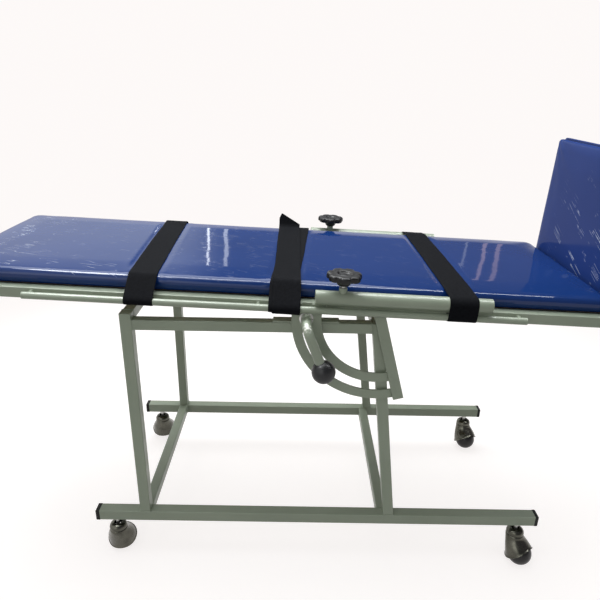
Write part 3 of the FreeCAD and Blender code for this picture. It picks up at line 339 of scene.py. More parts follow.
CAP_BLACK = moulded("cap_plastic", (0.006, 0.006, 0.0055), (0.015, 0.015, 0.014), 0.5, shine=0.18)
KNOB_BLACK = moulded("knob_plastic", (0.006, 0.006, 0.0065), (0.014, 0.014, 0.015), 0.33,
                     shine=0.26)
BALL_BLACK = moulded("ball_plastic", (0.009, 0.009, 0.010), (0.020, 0.021, 0.023), 0.34, 0.3, 420.0)
WHEEL_BLACK = moulded("wheel_plastic", (0.008, 0.008, 0.008), (0.026, 0.025, 0.023), 0.36,
                      0.35, 300.0)
PAINTED_BOARD = moulded("painted_board", (0.010, 0.023, 0.095), (0.015, 0.034, 0.130), 0.6,
                        shine=0.2)
LINING = moulded("lining_fabric", (0.010, 0.010, 0.011), (0.022, 0.022, 0.024), 0.9, 0.8, 1500.0)
ZINC = plated("zinc_plate", (0.42, 0.42, 0.41), (0.60, 0.60, 0.58), 0.32, (1, 6, 1))
ARM_STEEL = plated("arm_plate", (0.50, 0.50, 0.49), (0.64, 0.64, 0.62), 0.2, (8, 1, 1))
HOOD_METAL = plated("hood_plate", (0.062, 0.061, 0.050), (0.118, 0.116, 0.096), 0.22)

PLY, tree, shader = finish("plywood", 0.62)
lines = add(tree, "TexWave", Scale=9.0, Distortion=7.0, Detail=4.0, bands_direction="Y",
            Vector=place(tree, (0.5, 9.0, 9.0)))
sheet = ramp(tree, lines.outputs[1], [
    (0.0, (0.34, 0.22, 0.12)), (0.5, (0.50, 0.36, 0.22)), (1.0, (0.58, 0.43, 0.28))])
# the dark rim along the board's long edges is painted shade, for the shadow line under the pad's edge
from_middle = maths(tree, one_axis(tree, 1), pivot.y, "SUBTRACT")
rim = scaled(tree, maths(tree, from_middle, 0.0, "ABSOLUTE"), 0.285, 0.292)
rim_painted_shade = mixed(tree, rim, sheet, (0.018, 0.017, 0.016, 1))
tree.links.new(rim_painted_shade, shader.inputs["Base Color"])
bump(tree, shader, cloud(tree, 90.0, 4.0, place(tree, (0.5, 6.0, 6.0))), 0.3, 0.0004)
print("finishes", len(bpy.data.materials))

# %% [markdown]
# A new piece is a mesh, a finish and a body that it moves with. Most pieces stand for CAD
# nodes, which then are hidden.
# %% Helpers for pieces
def cover(mesh, material):
    """One finish all over a mesh, shaded smooth."""
    mesh.materials.clear()
    mesh.materials.append(material)
    mesh.polygons.foreach_set("material_index", [0] * len(mesh.polygons))
    mesh.polygons.foreach_set("use_smooth", [True] * len(mesh.polygons))


def link(name, mesh, body, slot, material, replaced=()):
    piece = bpy.data.objects.new(name, mesh)
    scene.collection.objects.link(piece)
    cover(mesh, material)
    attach(piece, body)
    if replaced:
        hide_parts(*replaced)
    return piece


def build(name, spots, faces, axes, *rest, sharp=None, **more):
    """A piece from a list of points and faces, given in the axes that it was built in."""
    mesh = bpy.data.meshes.new(name)
    mesh.from_pydata([tuple(spot) for spot in spots], [], [list(face) for face in faces])
    mesh.transform(axes)
    mesh.validate()
    mesh.update()
    piece = link(name, mesh, *rest, **more)
    if sharp:
        mesh.set_sharp_from_angle(angle=math.radians(sharp))
    return piece


def stacked(rows, cap_first=False, cap_last=False, joined=False):
    """Points and faces of a skin over rows of equal length, each row closed on itself.
    A joined skin goes on from its last row to its first."""
    count, faces = len(rows[0]), []
    for row in range(len(rows) if joined else len(rows) - 1):
        here, after = row * count, (row + 1) % len(rows) * count
        for step in range(count):
            right = (step + 1) % count
            faces.append((here + step, here + right, after + right, after + step))
    if cap_first:
        faces.append(tuple(range(count))[::-1])
    if cap_last:
        faces.append(tuple((len(rows) - 1) * count + step for step in range(count)))
    return [spot for row in rows for spot in row], faces


def settle(piece):
    """Writes what the modifiers make into the mesh and drops them."""
    graph = bpy.context.evaluated_depsgraph_get()
    made = bpy.data.meshes.new_from_object(piece.evaluated_get(graph), depsgraph=graph)
    old, name = piece.data, piece.data.name
    piece.modifiers.clear()
    piece.data = made
    bpy.data.meshes.remove(old)
    made.name = name
    return made


def skin(mesh):
    """A mesh's points, and which way it faces at each."""
    return (np.array([vertex.co for vertex in mesh.vertices]),
            np.array([vertex.normal for vertex in mesh.vertices]))


# %% [markdown]
# Square tube is never quite square: the mill leaves a radius of two or three millimetres on its
# long edges, and those edges catch the light. The copy of each CAD mesh is cleaned of its
# triangles, its long outer edges get that radius, and all other edges a small break. Beveling
# only edges above a length keeps drilled holes and tube ends crisp.
# %% Dress the CAD solids
def is_long(rim):
    return rim.calc_length() > 0.10


def dressed(node, body, slot, material, edge, tube=0.0, pick=is_long, angle=40):
    """A copy of a CAD mesh: the edges that pick allows get the tube's radius, all get edge."""
    mesh = frame["nodes"][node].data.copy()
    mesh.name = node + "_mesh"
    shape = bmesh.new()
    shape.from_mesh(mesh)
    bmesh.ops.remove_doubles(shape, verts=shape.verts, dist=2e-6)
    bmesh.ops.dissolve_limit(shape, angle_limit=math.radians(0.4), verts=shape.verts,
                             edges=shape.edges)
    if tube:
        rims = [rim for rim in shape.edges if len(rim.link_faces) == 2 and rim.is_convex
                and pick(rim) and rim.calc_face_angle() > math.radians(50)]
        bmesh.ops.bevel(shape, geom=rims, offset=tube, offset_type="OFFSET", segments=4,
                        profile=0.5, affect="EDGES", clamp_overlap=True)
    shape.to_mesh(mesh)
    shape.free()
    piece = link(node + "_shown", mesh, body, slot, material, replaced=(node,))
    bevel = piece.modifiers.new("edges", "BEVEL")
    bevel.width, bevel.segments, bevel.limit_method = edge, 2, "ANGLE"
    bevel.angle_limit = math.radians(angle)
    piece.modifiers.new("normals", "WEIGHTED_NORMAL").keep_sharp = True
    piece.data.set_sharp_from_angle(angle=math.radians(angle))
    settle(piece)
    return piece


body_of = {node: body for body, nodes in frame["record"]["behaviour"]["bodies"].items()
           for node in nodes}
slot_of = {part["node"]: part["material_slot"] for part in frame["record"]["subparts"]}
TUBES = ("base_rail_near", "base_rail_far", "base_crossbars", "head_post_near", "head_post_far",
         "foot_post_near", "foot_post_far", "upper_rail_near", "upper_rail_far",
         "top_crossbar_head", "top_crossbar_foot", "side_rail_near", "side_rail_far",
         "end_rails", "cross_members")
PLATES = ("pivot_cheeks", "clamp_bracket", "sleeve_saddles", "quadrant_inner_arc",
          "quadrant_outer_arc", "quadrant_bar")
ROUNDS = ("pivot_barrels", "strap_rail_near", "strap_rail_far", "strap_rail_pegs",
          "strap_rail_plugs", "sleeve_near", "sleeve_far", "sleeve_nuts", "footboard_guides")
for nodes, edge, tube in ((TUBES, 0.3, 2.6), (PLATES, 0.9, 0.0), (ROUNDS, 0.4, 0.0)):
    for node in nodes:
        dressed(node, body_of[node], slot_of[node], PAINT, edge * MM, tube * MM)
cap_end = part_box("rail_end_caps")[1].x - 1 * MM
dressed("rail_end_caps", "base", "black_plastic", CAP_BLACK, tube=4.5 * MM, edge=0.4 * MM,
        pick=lambda rim: all(abs(vertex.co.x) > cap_end for vertex in rim.verts))
dressed("deck_board", "tabletop", "board", PLY, edge=0.4 * MM)
dressed("lever_tube", "clamp_lever", "frame_paint", WORN, edge=0.5 * MM)
for node in ("pivot_pins", "clamp_bolt", "caster_stems", "guide_set_screws"):
    dressed(node, body_of[node], "zinc", ZINC, edge=0.6 * MM)
for node in ("footboard_arms", "footboard_clips"):
    dressed(node, "footboard", "zinc", ARM_STEEL, edge=0.5 * MM)

# %% [markdown]
# Every joint of the frame is welded, and the bead is what tells a real frame from a drawing.
# A bead is a thin round line along the seam with the ripple of the puddle in it. It is built
# along a list of corners as a tube whose radius rises and falls every three millimetres.
# %% Weld beads
BEAD_SIDES, BEAD_STEP = 7, 1.3 * MM


def bead(corners, radius, seed, closed=True):
    """Points and faces of one bead along corners."""
    corners = [Vector(corner) for corner in corners]
    runs = zip(corners, corners[1:] + corners[:1] if closed else corners[1:])
    line = []
    for start, end in runs:
        count = max(2, int((end - start).length / BEAD_STEP))
        line += [start.lerp(end, step / count) for step in range(count)]
    if not closed:
        line.append(corners[-1])
    turns = [2 * math.pi * step / BEAD_SIDES for step in range(BEAD_SIDES)]
    rows = []
    for number, spot in enumerate(line):
        ahead = line[(number + 1) % len(line) if closed else min(number + 1, len(line) - 1)]
        behind = line[number - 1 if closed else max(number - 1, 0)]
        forward = (ahead - behind).normalized()
        side = forward.cross(Vector((0.31, 0.57, 0.76))).normalized()
        other = forward.cross(side)
        ripple = 1 + 0.16 * math.sin(number * 2.6 + seed)
        ripple += 0.22 * noise.noise(spot * 260 + Vector((seed, 0, 0)))
        if not closed and number in (0, len(line) - 1):
            ripple *= 0.4
        rows.append([spot + (side * math.cos(turn) + other * math.sin(turn)) * radius * ripple
                     for turn in turns])
    return stacked(rows, cap_first=not closed, cap_last=not closed, joined=closed)


def beads(name, axes, body, loops, radius=2.0 * MM, slot="frame_paint", material=WELD, seed=1.7):
    """loops are lists of corners, each with whether it closes on itself."""
    spots, faces = [], []
    for number, (corners, closed) in enumerate(loops):
        new_spots, new_faces = bead(corners, radius, number * seed, closed)
        faces += [[index + len(spots) for index in face] for face in new_faces]
        spots += new_spots
    return build(name, spots, faces, axes, body, slot, material)


def ring(centre, first, second, radius, count=20):
    centre, first, second = Vector(centre), Vector(first), Vector(second)
    turns = [2 * math.pi * step / count for step in range(count)]
    return [centre + (first * math.cos(turn) + second * math.sin(turn)) * radius for turn in turns]


def around(low, high, axis, value):
    """The outline of a box where it meets a plane."""
    others = [other for other in range(3) if other != axis]
    corners = []
    for first, second in ((0, 0), (1, 0), (1, 1), (0, 1)):
        corner = [0.0, 0.0, 0.0]
        corner[axis] = value
        corner[others[0]] = (low, high)[first][others[0]]
        corner[others[1]] = (low, high)[second][others[1]]
        corners.append(corner)
    return corners


POST = 32 * MM
bars = np.array([vertex.co for vertex in frame["nodes"]["base_crossbars"].data.vertices])
base_loops = []
for side in ("near", "far"):
    rail_low, rail_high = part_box("base_rail_" + side)
    inner = rail_high.y if side == "near" else rail_low.y
    for end in ("head", "foot"):
        low, high = (corner.copy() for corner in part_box("%s_post_%s" % (end, side)))
        if end == "foot":
            low.x = high.x - POST
        base_loops.append((around(low, high, 2, rail_high.z), True))
    upper_low, upper_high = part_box("upper_rail_" + side)
    base_loops.append((around(upper_low, upper_high, 0, upper_low.x), True))
    foot_low, foot_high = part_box("foot_post_" + side)
    lean = (foot_high.x - POST - foot_low.x) / (foot_high.z - foot_low.z)
    slanted = [(upper_high.x - (z - upper_low.z) * lean, y, z)
               for y, z in ((upper_low.y, upper_low.z), (upper_high.y, upper_low.z),
                            (upper_high.y, upper_high.z), (upper_low.y, upper_high.z))]
    base_loops.append((slanted, True))
    for half in (bars[bars[:, 0] < 0], bars[bars[:, 0] > 0]):
        base_loops.append((around(half.min(0), half.max(0), 1, inner), True))
    for bar in ("top_crossbar_head", "top_crossbar_foot"):
        bar_low, bar_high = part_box(bar)
        face = bar_low.y if side == "near" else bar_high.y
        base_loops.append((around(bar_low, bar_high, 1, face), True))
beads("welds_base", FLAT, "base", base_loops)

# The strap rails' pegs are welded at both ends. The quadrant's strips end on the side rail.
PEGS = (-927 * MM, -330 * MM, 367 * MM)
RAIL_OUT, RAIL_RADIUS, PEG_DOWN, PEG_BEAD = 27 * MM, 9 * MM, 10.7 * MM, 5.4 * MM
side_low, side_high = top_box("side_rail_near")
outer_v, peg_w = abs(side_low[1]), side_high[2] - PEG_DOWN
top_loops = []
for sign in (-1, 1):
    for u in PEGS:
        for v in (sign * outer_v, sign * (outer_v + RAIL_OUT - RAIL_RADIUS)):
            top_loops.append((ring((u, v, peg_w), (1, 0, 0), (0, 0, 1), PEG_BEAD, 14), True))
beads("welds_rails", TOP, "tabletop", top_loops, 1.5 * MM)
arc_loops = []
for node, width in (("quadrant_inner_arc", 28 * MM), ("quadrant_outer_arc", 27 * MM)):
    u, top = top_box(node)[0][0], side_high[2]
    arc_loops.append(([(u, -outer_v, top - 2 * MM), (u + width, -outer_v, top - 2 * MM)], False))
    arc_loops.append(([(u, -outer_v - 3 * MM, w) for w in (side_low[2], top - 4 * MM)], False))
beads("welds_quadrant", TOP, "tabletop", arc_loops, 1.6 * MM)
print("weld beads", len(base_loops) + len(top_loops) + len(arc_loops))

# %% [markdown]
# The mattress is foam on a board with vinyl pulled tight over it. The CAD form is remeshed
# evenly, drawn in a little, and cloth with air pressure swells it again, so its skin sits
# taut and full. The underside is pinned, as the vinyl is stapled to the board there. How far
# a point may move is capped, so the pad keeps its size.
# %% Swell the cushions
def blown(piece, small, free, cap):
    """Points of the cover after air pressure has swelled it, none moved further than cap."""
    group = piece.vertex_groups.new(name="board")
    group.add([int(index) for index in np.where(~free)[0]], 1.0, "REPLACE")
    cloth = piece.modifiers.new("vinyl", "CLOTH")
    cloth.settings.use_pressure = True
    cloth.settings.uniform_pressure_force = 4.0
    cloth.settings.vertex_group_mass = "board"
    cloth.settings.effector_weights.gravity = 0.0
    cloth.settings.quality = 4
    cloth.point_cache.frame_end = 20
    for step in range(1, 21):
        scene.frame_set(step)
    move = skin(settle(piece))[0] - small
    scene.frame_set(1)
    far = np.linalg.norm(move, axis=1)
    print(piece.name, "swelled", round(float(far.mean()) / MM, 2), "mm, capped at", cap / MM)
    return small + move * np.minimum(1.0, cap / np.maximum(far, 1e-9))[:, None]


def cushion(node, name, material, voxel, shrink, cap, pinned):
    mesh = frame["nodes"][node].data.copy()
    mesh.name = name
    mesh.transform(TOP.inverted())
    piece = bpy.data.objects.new(name, mesh)
    scene.collection.objects.link(piece)
    remesh = piece.modifiers.new("even", "REMESH")
    remesh.mode, remesh.voxel_size = "VOXEL", voxel
    points, ways = skin(settle(piece))
    free = ~pinned(points)
    points = points - ways * shrink * free[:, None]
    piece.data.vertices.foreach_set("co", points.ravel())
    piece.data.update()
    points = blown(piece, points, free, cap)
    piece.data.vertices.foreach_set("co", points.ravel())
    piece.data.update()
    smooth = piece.modifiers.new("even", "SMOOTH")
    smooth.factor, smooth.iterations = 0.5, 3
    piece.modifiers.new("finer", "SUBSURF").levels = 1
    settle(piece)
    piece.vertex_groups.clear()
    cover(piece.data, material)
    return piece


pad_base = pad_low[2] + 2 * MM
mattress = cushion("mattress", "mattress_cover", VINYL_TOP, 8 * MM, 2.0 * MM, 2.2 * MM,
                   lambda spots: spots[:, 2] < pad_base)
board_low, board_high = top_box("footboard_pad")
board_back = board_high[0] - 2 * MM
footpad = cushion("footboard_pad", "footboard_cover", VINYL_BOARD, 5 * MM, 1.8 * MM, 2.4 * MM,
                  lambda spots: spots[:, 0] > board_back)

# %% [markdown]
# A strap pulled tight beds itself in the pad. Its line across the table is worked out first:
# flat over the top, round the pad's shoulder and straight down to the rail that it is looped
# on. The same line then presses the vinyl in, and the strap lies in that dent.
# %% The line of a strap
STRAP_WIDTH, STRAP_THICK = 76 * MM, 2.4 * MM
PAD_HALF, PAD_TOP = float(pad_high[1]), float(pad_high[2])
BED = 1.6 * MM
SHOULDER = (PAD_HALF - 15 * MM, PAD_TOP - 17.5 * MM, 14 * MM)


def tube_at(node):
    """A tube of the top as a circle in (v, w), on either side."""
    low, high = top_box(node)
    return abs(low[1] + high[1]) / 2, (low[2] + high[2]) / 2, (high[1] - low[1]) / 2


def wrap(circles, grow, tuck=8 * MM, top=PAD_TOP - BED):
    """Points (v, w) from the middle of the top, over each circle and up behind the last."""
    rings = [(Vector((across, up)), radius + grow) for across, up, radius in circles]
    turns = [math.pi / 2]
    for (first, first_radius), (second, second_radius) in zip(rings, rings[1:]):
        gap = second - first
        slope = math.acos((first_radius - second_radius) / gap.length)
        turns.append(math.atan2(gap.y, gap.x) + slope)
    turns.append(-math.pi)
    points = [Vector((0, top + grow))]
    for number, (centre, radius) in enumerate(rings):
        for step in range(13):
            turn = turns[number] + (turns[number + 1] - turns[number]) * step / 12
            points.append(centre + Vector((math.cos(turn), math.sin(turn))) * radius)
    points.append(points[-1] + Vector((0, tuck)))
    return points


def marks_of(line):
    """How far along a line each of its points lies."""
    return np.r_[0, np.cumsum(np.linalg.norm(np.diff(line, axis=0), axis=1))]


def even(points, pitch=4 * MM):
    """The same line with points at an even pitch, corners softened."""
    spots = np.array([tuple(point) for point in points])
    lengths = marks_of(spots)
    marks = np.linspace(0, lengths[-1], int(lengths[-1] / pitch) + 1)
    line = np.stack([np.interp(marks, lengths, spots[:, axis]) for axis in (0, 1)], axis=1)
    for _ in range(2):
        line[1:-1] = 0.25 * line[:-2] + 0.5 * line[1:-1] + 0.25 * line[2:]
    return line


def outward_from(line):
    """Square to a line at each of its points."""
    step = np.gradient(line, axis=0)
    outward = np.stack([-step[:, 1], step[:, 0]], axis=1)
    return outward / np.linalg.norm(outward, axis=1)[:, None]


plain = (SHOULDER, tube_at("strap_rail_near"))
over_near = (SHOULDER, tube_at("sleeve_near"), tube_at("strap_rail_near"))
over_far = (SHOULDER, tube_at("sleeve_far"), tube_at("strap_rail_far"))
print("strap half length", round(float(marks_of(even(wrap(plain, 0)))[-1]), 3))

# %% [markdown]
# The pad is pressed in under each strap and swells a little beside it, and at the shoulder the
# pull draws fine folds out of the vinyl that die away along the side. The corners get short
# pleats, where a flat sheet has to turn two ways. Each is a small push along the skin, worked
# out from the distance to the strap or the corner. A strap has its place along the table at the
# near edge, the circles that it passes on either side, and how far it drifts on its way over.
# %% Dents, folds and pleats in the mattress
STRAPS = {"head_strap": (-640 * MM, (plain, plain), -31 * MM),
          "middle_strap": (-264 * MM, (plain, plain), 36 * MM),
          "foot_strap": (206 * MM, (over_near, over_far), -6 * MM)}


def skew(across, shift):
    """How far along the table a strap has drifted at v; shift is at the far edge."""
    return shift * (np.asarray(across) + PAD_HALF) / (2 * PAD_HALF)


def ease(value):
    value = np.clip(value, 0, 1)
    return value * value * (3 - 2 * value)


def waves_at(spots, scale):
    """Noise at many points, with a scale for each axis."""
    return np.array([noise.noise(Vector(spot)) for spot in spots * scale])


mesh = mattress.data
spots, ways = skin(mesh)
u, v, w = spots.T
upper = ease((w - (PAD_TOP - 40 * MM)) / (12 * MM))
slow = waves_at(spots, (5, 6, 6))
push = 0.5 * MM * slow * upper
height = (w - pad_low[2]) / (PAD_TOP - pad_low[2])
side_mask = ease((np.abs(v) - (PAD_HALF - 16 * MM)) / (8 * MM))
for middle, _, shift in STRAPS.values():
    off = u - middle - skew(v, shift)
    away = np.abs(off) - STRAP_WIDTH / 2
    beside = np.exp(-np.clip(away, 0, 1) / (26 * MM)) * (away > 0)
    fan = np.sin((w - PAD_TOP) / (3.4 * MM) - away / (16 * MM) + np.sign(off) * 1.3 + 2.0 * slow)
    push += 0.55 * MM * beside * fan * side_mask * ease(away / (8 * MM))
    edge_fan = np.sin(v / (7.5 * MM) + away / (11 * MM) * np.sign(v) + 3 * slow)
    edge_mask = ease((np.abs(v) - (PAD_HALF - 75 * MM)) / (60 * MM)) * (1 - side_mask)
    push += 0.4 * MM * beside * edge_fan * edge_mask * upper * ease(away / (8 * MM))
    push += 0.45 * MM * np.exp(-((away - 11 * MM) / (9 * MM)) ** 2) * upper * (away > -4 * MM)
for end in (pad_low[0], pad_high[0]):
    for side in (-PAD_HALF, PAD_HALF):
        centre = (end - math.copysign(38 * MM, end), side - math.copysign(38 * MM, side))
        turn = np.arctan2(v - centre[1], u - centre[0])
        away = np.hypot(u - centre[0], v - centre[1])
        outside = (((u - centre[0]) * np.sign(end) > -6 * MM)
                   & ((v - centre[1]) * np.sign(side) > -6 * MM))
        fold = np.sin(turn * 23 + 2.2 * slow) ** 3
        low = ease((0.75 - height) / 0.45) + 0.25
        push += 0.8 * MM * fold * low * outside * ease((away - 18 * MM) / (16 * MM))
spots += ways * push[:, None]

# %% [markdown]
# Under the band itself the skin may not stand above the strap's line. Each point there is
# compared with the nearest point of that line and drawn back inside it, fully under the strap
# and less and less over the next two centimetres.
# %% Bed the straps in
u, v, w = spots.T
for name, (middle, sides, shift) in STRAPS.items():
    for side, circles in zip((-1, 1), sides):
        line = even(wrap(circles, -0.4 * MM), 2 * MM)
        line = line[line[:, 1] > PAD_TOP - 44 * MM]
        outward = -outward_from(line)
        outward = np.where(outward[:, 1:2] < -0.2, -outward, outward)
        off = np.abs(u - middle - skew(v, shift)) - STRAP_WIDTH / 2
        index = np.where((off < 24 * MM) & (w > PAD_TOP - 42 * MM) & (v * side > 0))[0]
        here = np.stack([np.abs(v[index]), w[index]], axis=1)
        gaps = here[:, None, :] - line[None, :, :]
        closest = np.argmin((gaps ** 2).sum(2), axis=1)
        over = (gaps[np.arange(len(index)), closest] * outward[closest]).sum(1)
        pull = np.clip(over, 0, 8 * MM) * (1 - ease(off[index] / (22 * MM)))
        spots[index, 1] -= np.sign(v[index]) * outward[closest][:, 0] * pull
        spots[index, 2] -= outward[closest][:, 1] * pull
        print(name, "pressed", int((pull > 0.2 * MM).sum()), "points")
mesh.vertices.foreach_set("co", spots.ravel())
mesh.transform(TOP)
mesh.update()
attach(mattress, "tabletop")
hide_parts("mattress")

# %% [markdown]
# The footboard's cover has been pulled over its corners by hand: folds run down from the top
# corner towards the middle and die away. They are ridges along one diagonal, strongest at
# the corner, and the whole face has slow, shallow waves.
# %% Folds in the footboard's cover
mesh = footpad.data
spots, ways = skin(mesh)
u, v, w = spots.T
slow = waves_at(spots, (6, 7, 7))
front = ease((board_high[0] - 8 * MM - u) / (10 * MM))
push = 0.6 * MM * slow * front
for side, strength in ((-1, 0.5), (1, 1.0)):
    corner_v, corner_w = side * board_high[1], board_high[2]
    away = np.hypot(v - corner_v, w - corner_w)
    turn = np.arctan2(corner_w - w, (corner_v - v) * side)
    fold = np.sin(turn * 15 + 2.5 * slow) * np.exp(-away / (120 * MM)) * ease(away / (30 * MM))
    push += strength * 0.9 * MM * fold * front
for side in (-1, 1):
    for level in (board_low[2], board_high[2]):
        away = np.hypot(v - side * board_high[1], w - level)
        turn = np.arctan2(w - level, (v - side * board_high[1]))
        rim = ease((u - board_low[0] - 4 * MM) / (8 * MM))
        push += 0.6 * MM * np.sin(turn * 20) ** 3 * np.exp(-away / (40 * MM)) * rim
spots += ways * push[:, None]
mesh.vertices.foreach_set("co", spots.ravel())
mesh.transform(TOP)
mesh.update()
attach(footpad, "footboard")
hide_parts("footboard_pad")
print("footboard cover", len(mesh.vertices), "points")

# %% [markdown]
# Behind the cushion is the board. The vinyl wraps round its edge onto the back and is stapled
# there, and a black lining hides the raw edge. The wrap is a ring with a rounded outer edge,
# the lining a thin sheet within it, and each staple a short wire crown.
# %% Back of the footboard
def outline(half_v, low_w, high_w, corner, count=10):
    """A rounded rectangle in v and w."""
    spots = []
    over, under = high_w - corner, low_w + corner
    quarters = ((0, 1, over), (90, -1, over), (180, -1, under), (270, 1, under))
    for start, sign, w in quarters:
        centre = Vector((sign * (half_v - corner), w))
        for step in range(count + 1):
            turn = math.radians(start + 90 * step / count)
            spots.append(centre + Vector((math.cos(turn), math.sin(turn))) * corner)
    return spots


plate_low, plate_high = top_box("footboard_panel")
plate_u, half_v, low_w, high_w = plate_low[0], plate_high[1], plate_low[2], plate_high[2]
# how far behind the panel's front each row lies, and how far in from its rim, in millimetres
WRAP = ((0.0, 1.2), (0.2, -0.5), (2.0, -0.9), (9.6, -0.9), (11.6, -0.2), (12.7, 1.4), (12.9, 4.0),
        (12.9, 30.0), (12.2, 31.0))
COVERED = ((12.3, 20.0), (13.5, 20.3), (13.7, 22.0), (13.5, 60.0))
rows = []
for depth, inset in WRAP:
    inset *= MM
    row = outline(half_v - inset, low_w + inset, high_w - inset, max(14 * MM - inset, 3 * MM))
    rows.append([Vector((plate_u + depth * MM + 0.25 * MM * noise.noise(
        Vector((spot.x * 40, spot.y * 40, inset * 60))), spot.x, spot.y)) for spot in row])
build("footboard_wrap", *stacked(rows), TOP, "footboard", "vinyl", VINYL_BOARD)
dressed("footboard_panel", "footboard", "board", PAINTED_BOARD, edge=0.5 * MM)
rows = []
for depth, inset in COVERED:
    inset *= MM
    row = outline(half_v - inset, low_w + inset, high_w - inset, 8 * MM)
    rows.append([Vector((plate_u + depth * MM,
                         spot.x + 0.8 * MM * noise.noise(Vector((spot.y * 30, 1, inset))),
                         spot.y + 0.8 * MM * noise.noise(Vector((spot.x * 30, 7, inset)))))
                 for spot in row])
build("footboard_lining", *stacked(rows, cap_last=True), TOP, "footboard", "vinyl", LINING)

STAPLE_INSET, STAPLE_PITCH, STAPLE_HALF, STAPLE_U = 25 * MM, 38 * MM, 5 * MM, plate_u + 13.9 * MM
crowns = []
edge_row = outline(half_v - STAPLE_INSET, low_w + STAPLE_INSET, high_w - STAPLE_INSET, 10 * MM, 2)
for start, end in zip(edge_row, edge_row[1:] + edge_row[:1]):
    count = int((end - start).length / STAPLE_PITCH)
    way = (end - start).normalized() * STAPLE_HALF
    for step in range(count):
        middle = start.lerp(end, (step + 0.5) / count)
        crowns.append(([(STAPLE_U, *(middle - way)), (STAPLE_U, *(middle + way))], False))
beads("footboard_staples", TOP, "footboard", crowns, 0.5 * MM, "zinc", ZINC, seed=1)
print("staples", len(crowns))

# %% [markdown]
# A strap is a band with a real thickness, laid along its line. Its edges wander by half a
# millimetre and lift a little, as woven edges do, and its flat map is in metres, for the
# weave. The band is one closed skin: top, underside and two narrow rims.
# %% Lay a band
def band_faces(rows, count):
    """Faces of a closed band: an under layer and an upper layer of rows by count points."""
    faces, layer = [], rows * count
    for low in (number * count + column
                for number in range(rows - 1) for column in range(count - 1)):
        faces.append((low, low + 1, low + count + 1, low + count))
        faces.append(tuple(layer + index for index in (low, low + count, low + count + 1, low + 1)))
    for column in (0, count - 1):
        for low in range(column, (rows - 1) * count, count):
            faces.append((low, low + count, layer + low + count, layer + low))
    for first in (0, (rows - 1) * count):
        for low in range(first, first + count - 1):
            faces.append((low, layer + low, layer + low + 1, low + 1))
    return faces


def band(name, line, marks, drift, replaced, lift, seed, tip=None, inset=0.0):
    """line is the underside in (v, w), drift the position along the table of its middle."""
    outward = outward_from(line)
    columns = np.linspace(-1, 1, 21)
    half = STRAP_WIDTH / 2 - inset
    skins, maps = [], []
    for level in (0.0, 1.0):
        for number, mark in enumerate(marks):
            for column in columns:
                wander = noise.noise(Vector((mark * 9, column * 1.5, seed)))
                rim_side = 5 + math.copysign(3, column)
                rim = 0.6 * MM * noise.noise(Vector((mark * 30, rim_side, seed)))
                x = column * half + rim * abs(column) ** 3
                edge_lift = lift * (0.5 + wander) * abs(column) ** 3
                thick = STRAP_THICK * (1 - 0.35 * max(0.0, abs(column) - 0.93) / 0.07)
                out = level * thick + 0.35 * MM * wander + edge_lift + 0.2 * MM
                here = line[number] + outward[number] * out
                if tip is not None:
                    here = here + tip(mark, x)
                skins.append((drift[number] + x, *here))
                maps.append((x, mark))
    mesh = bpy.data.meshes.new(name)
    mesh.from_pydata(skins, [], band_faces(len(line), len(columns)))
    corners = np.array([loop.vertex_index for loop in mesh.loops])
    mesh.uv_layers.new(name="flat").data.foreach_set("uv", np.array(maps)[corners].ravel())
    shape = bmesh.new()
    shape.from_mesh(mesh)
    bmesh.ops.recalc_face_normals(shape, faces=shape.faces)
    shape.to_mesh(mesh)
    shape.free()
    mesh.transform(TOP)
    link(name, mesh, "tabletop", "webbing", WEBBING, replaced=replaced)
    mesh.set_sharp_from_angle(angle=math.radians(50))


def across(line, marks, middle, shift, amount, pitch, seed):
    """Where a strap's middle lies along the table at each point of its line."""
    wander = np.array([noise.noise(Vector((mark * pitch, *seed))) for mark in marks])
    return middle + skew(np.clip(line[:, 0], -PAD_HALF, PAD_HALF), shift) + amount * wander


for name in ("head_strap", "foot_strap", "middle_strap"):
    middle, sides, shift = STRAPS[name]
    near, far = (even(wrap(circles, 0.0)) for circles in sides)
    line = np.concatenate([(near * (-1, 1))[::-1], far[1:]])
    marks = marks_of(line)
    drift = across(line, marks, middle, shift, 1.2 * MM, 6, (middle * 10, 2))
    band(name + "_band", line, marks, drift, (name,), lift=0.5 * MM, seed=middle * 10)

# %% [markdown]
# The middle strap comes back over itself: after its loop round the near rail it crosses the
# top again as a second layer, and its free end, cut at a slant, stands up at the far edge.
# The second layer starts under the rail, rides a strap's thickness above the first, and its
# last stretch bends up in an arc.
# %% The second layer and its free end
LAYER_GAP = STRAP_THICK + 0.8 * MM
near = (even(wrap(plain, LAYER_GAP, 0.0)) * (-1, 1))[::-1]
bend_v, over_top = PAD_HALF - 37 * MM, PAD_TOP - BED + LAYER_GAP
lean, radius, rise = math.radians(72), 16 * MM, 30 * MM
far = [Vector((0, over_top)), Vector((bend_v, over_top))]
for step in range(1, 13):
    turn = lean * step / 12 - math.pi / 2
    far.append(Vector((bend_v, over_top + radius))
               + Vector((math.cos(turn), math.sin(turn))) * radius)
far.append(far[-1] + Vector((math.cos(lean), math.sin(lean))) * rise)
line = np.concatenate([near, even(far, 3 * MM)[1:]])
marks = marks_of(line)
bulge = 1.6 * MM * np.exp(-((line[:, 0] + PAD_HALF - 8 * MM) / (22 * MM)) ** 2)
line += np.stack([-bulge, bulge], axis=1)
cut_start, cut_end = marks[-1] - 34 * MM, marks[-1]


def slanted(mark, x):
    """Shortens or lengthens the free end by column: highest a little in from its head side."""
    share = ease((mark - cut_start) / (cut_end - cut_start))
    reach = np.interp(x, (-38 * MM, -29 * MM, 38 * MM), (-12 * MM, 7 * MM, -31 * MM))
    return np.array((math.cos(lean), math.sin(lean))) * reach * float(share)


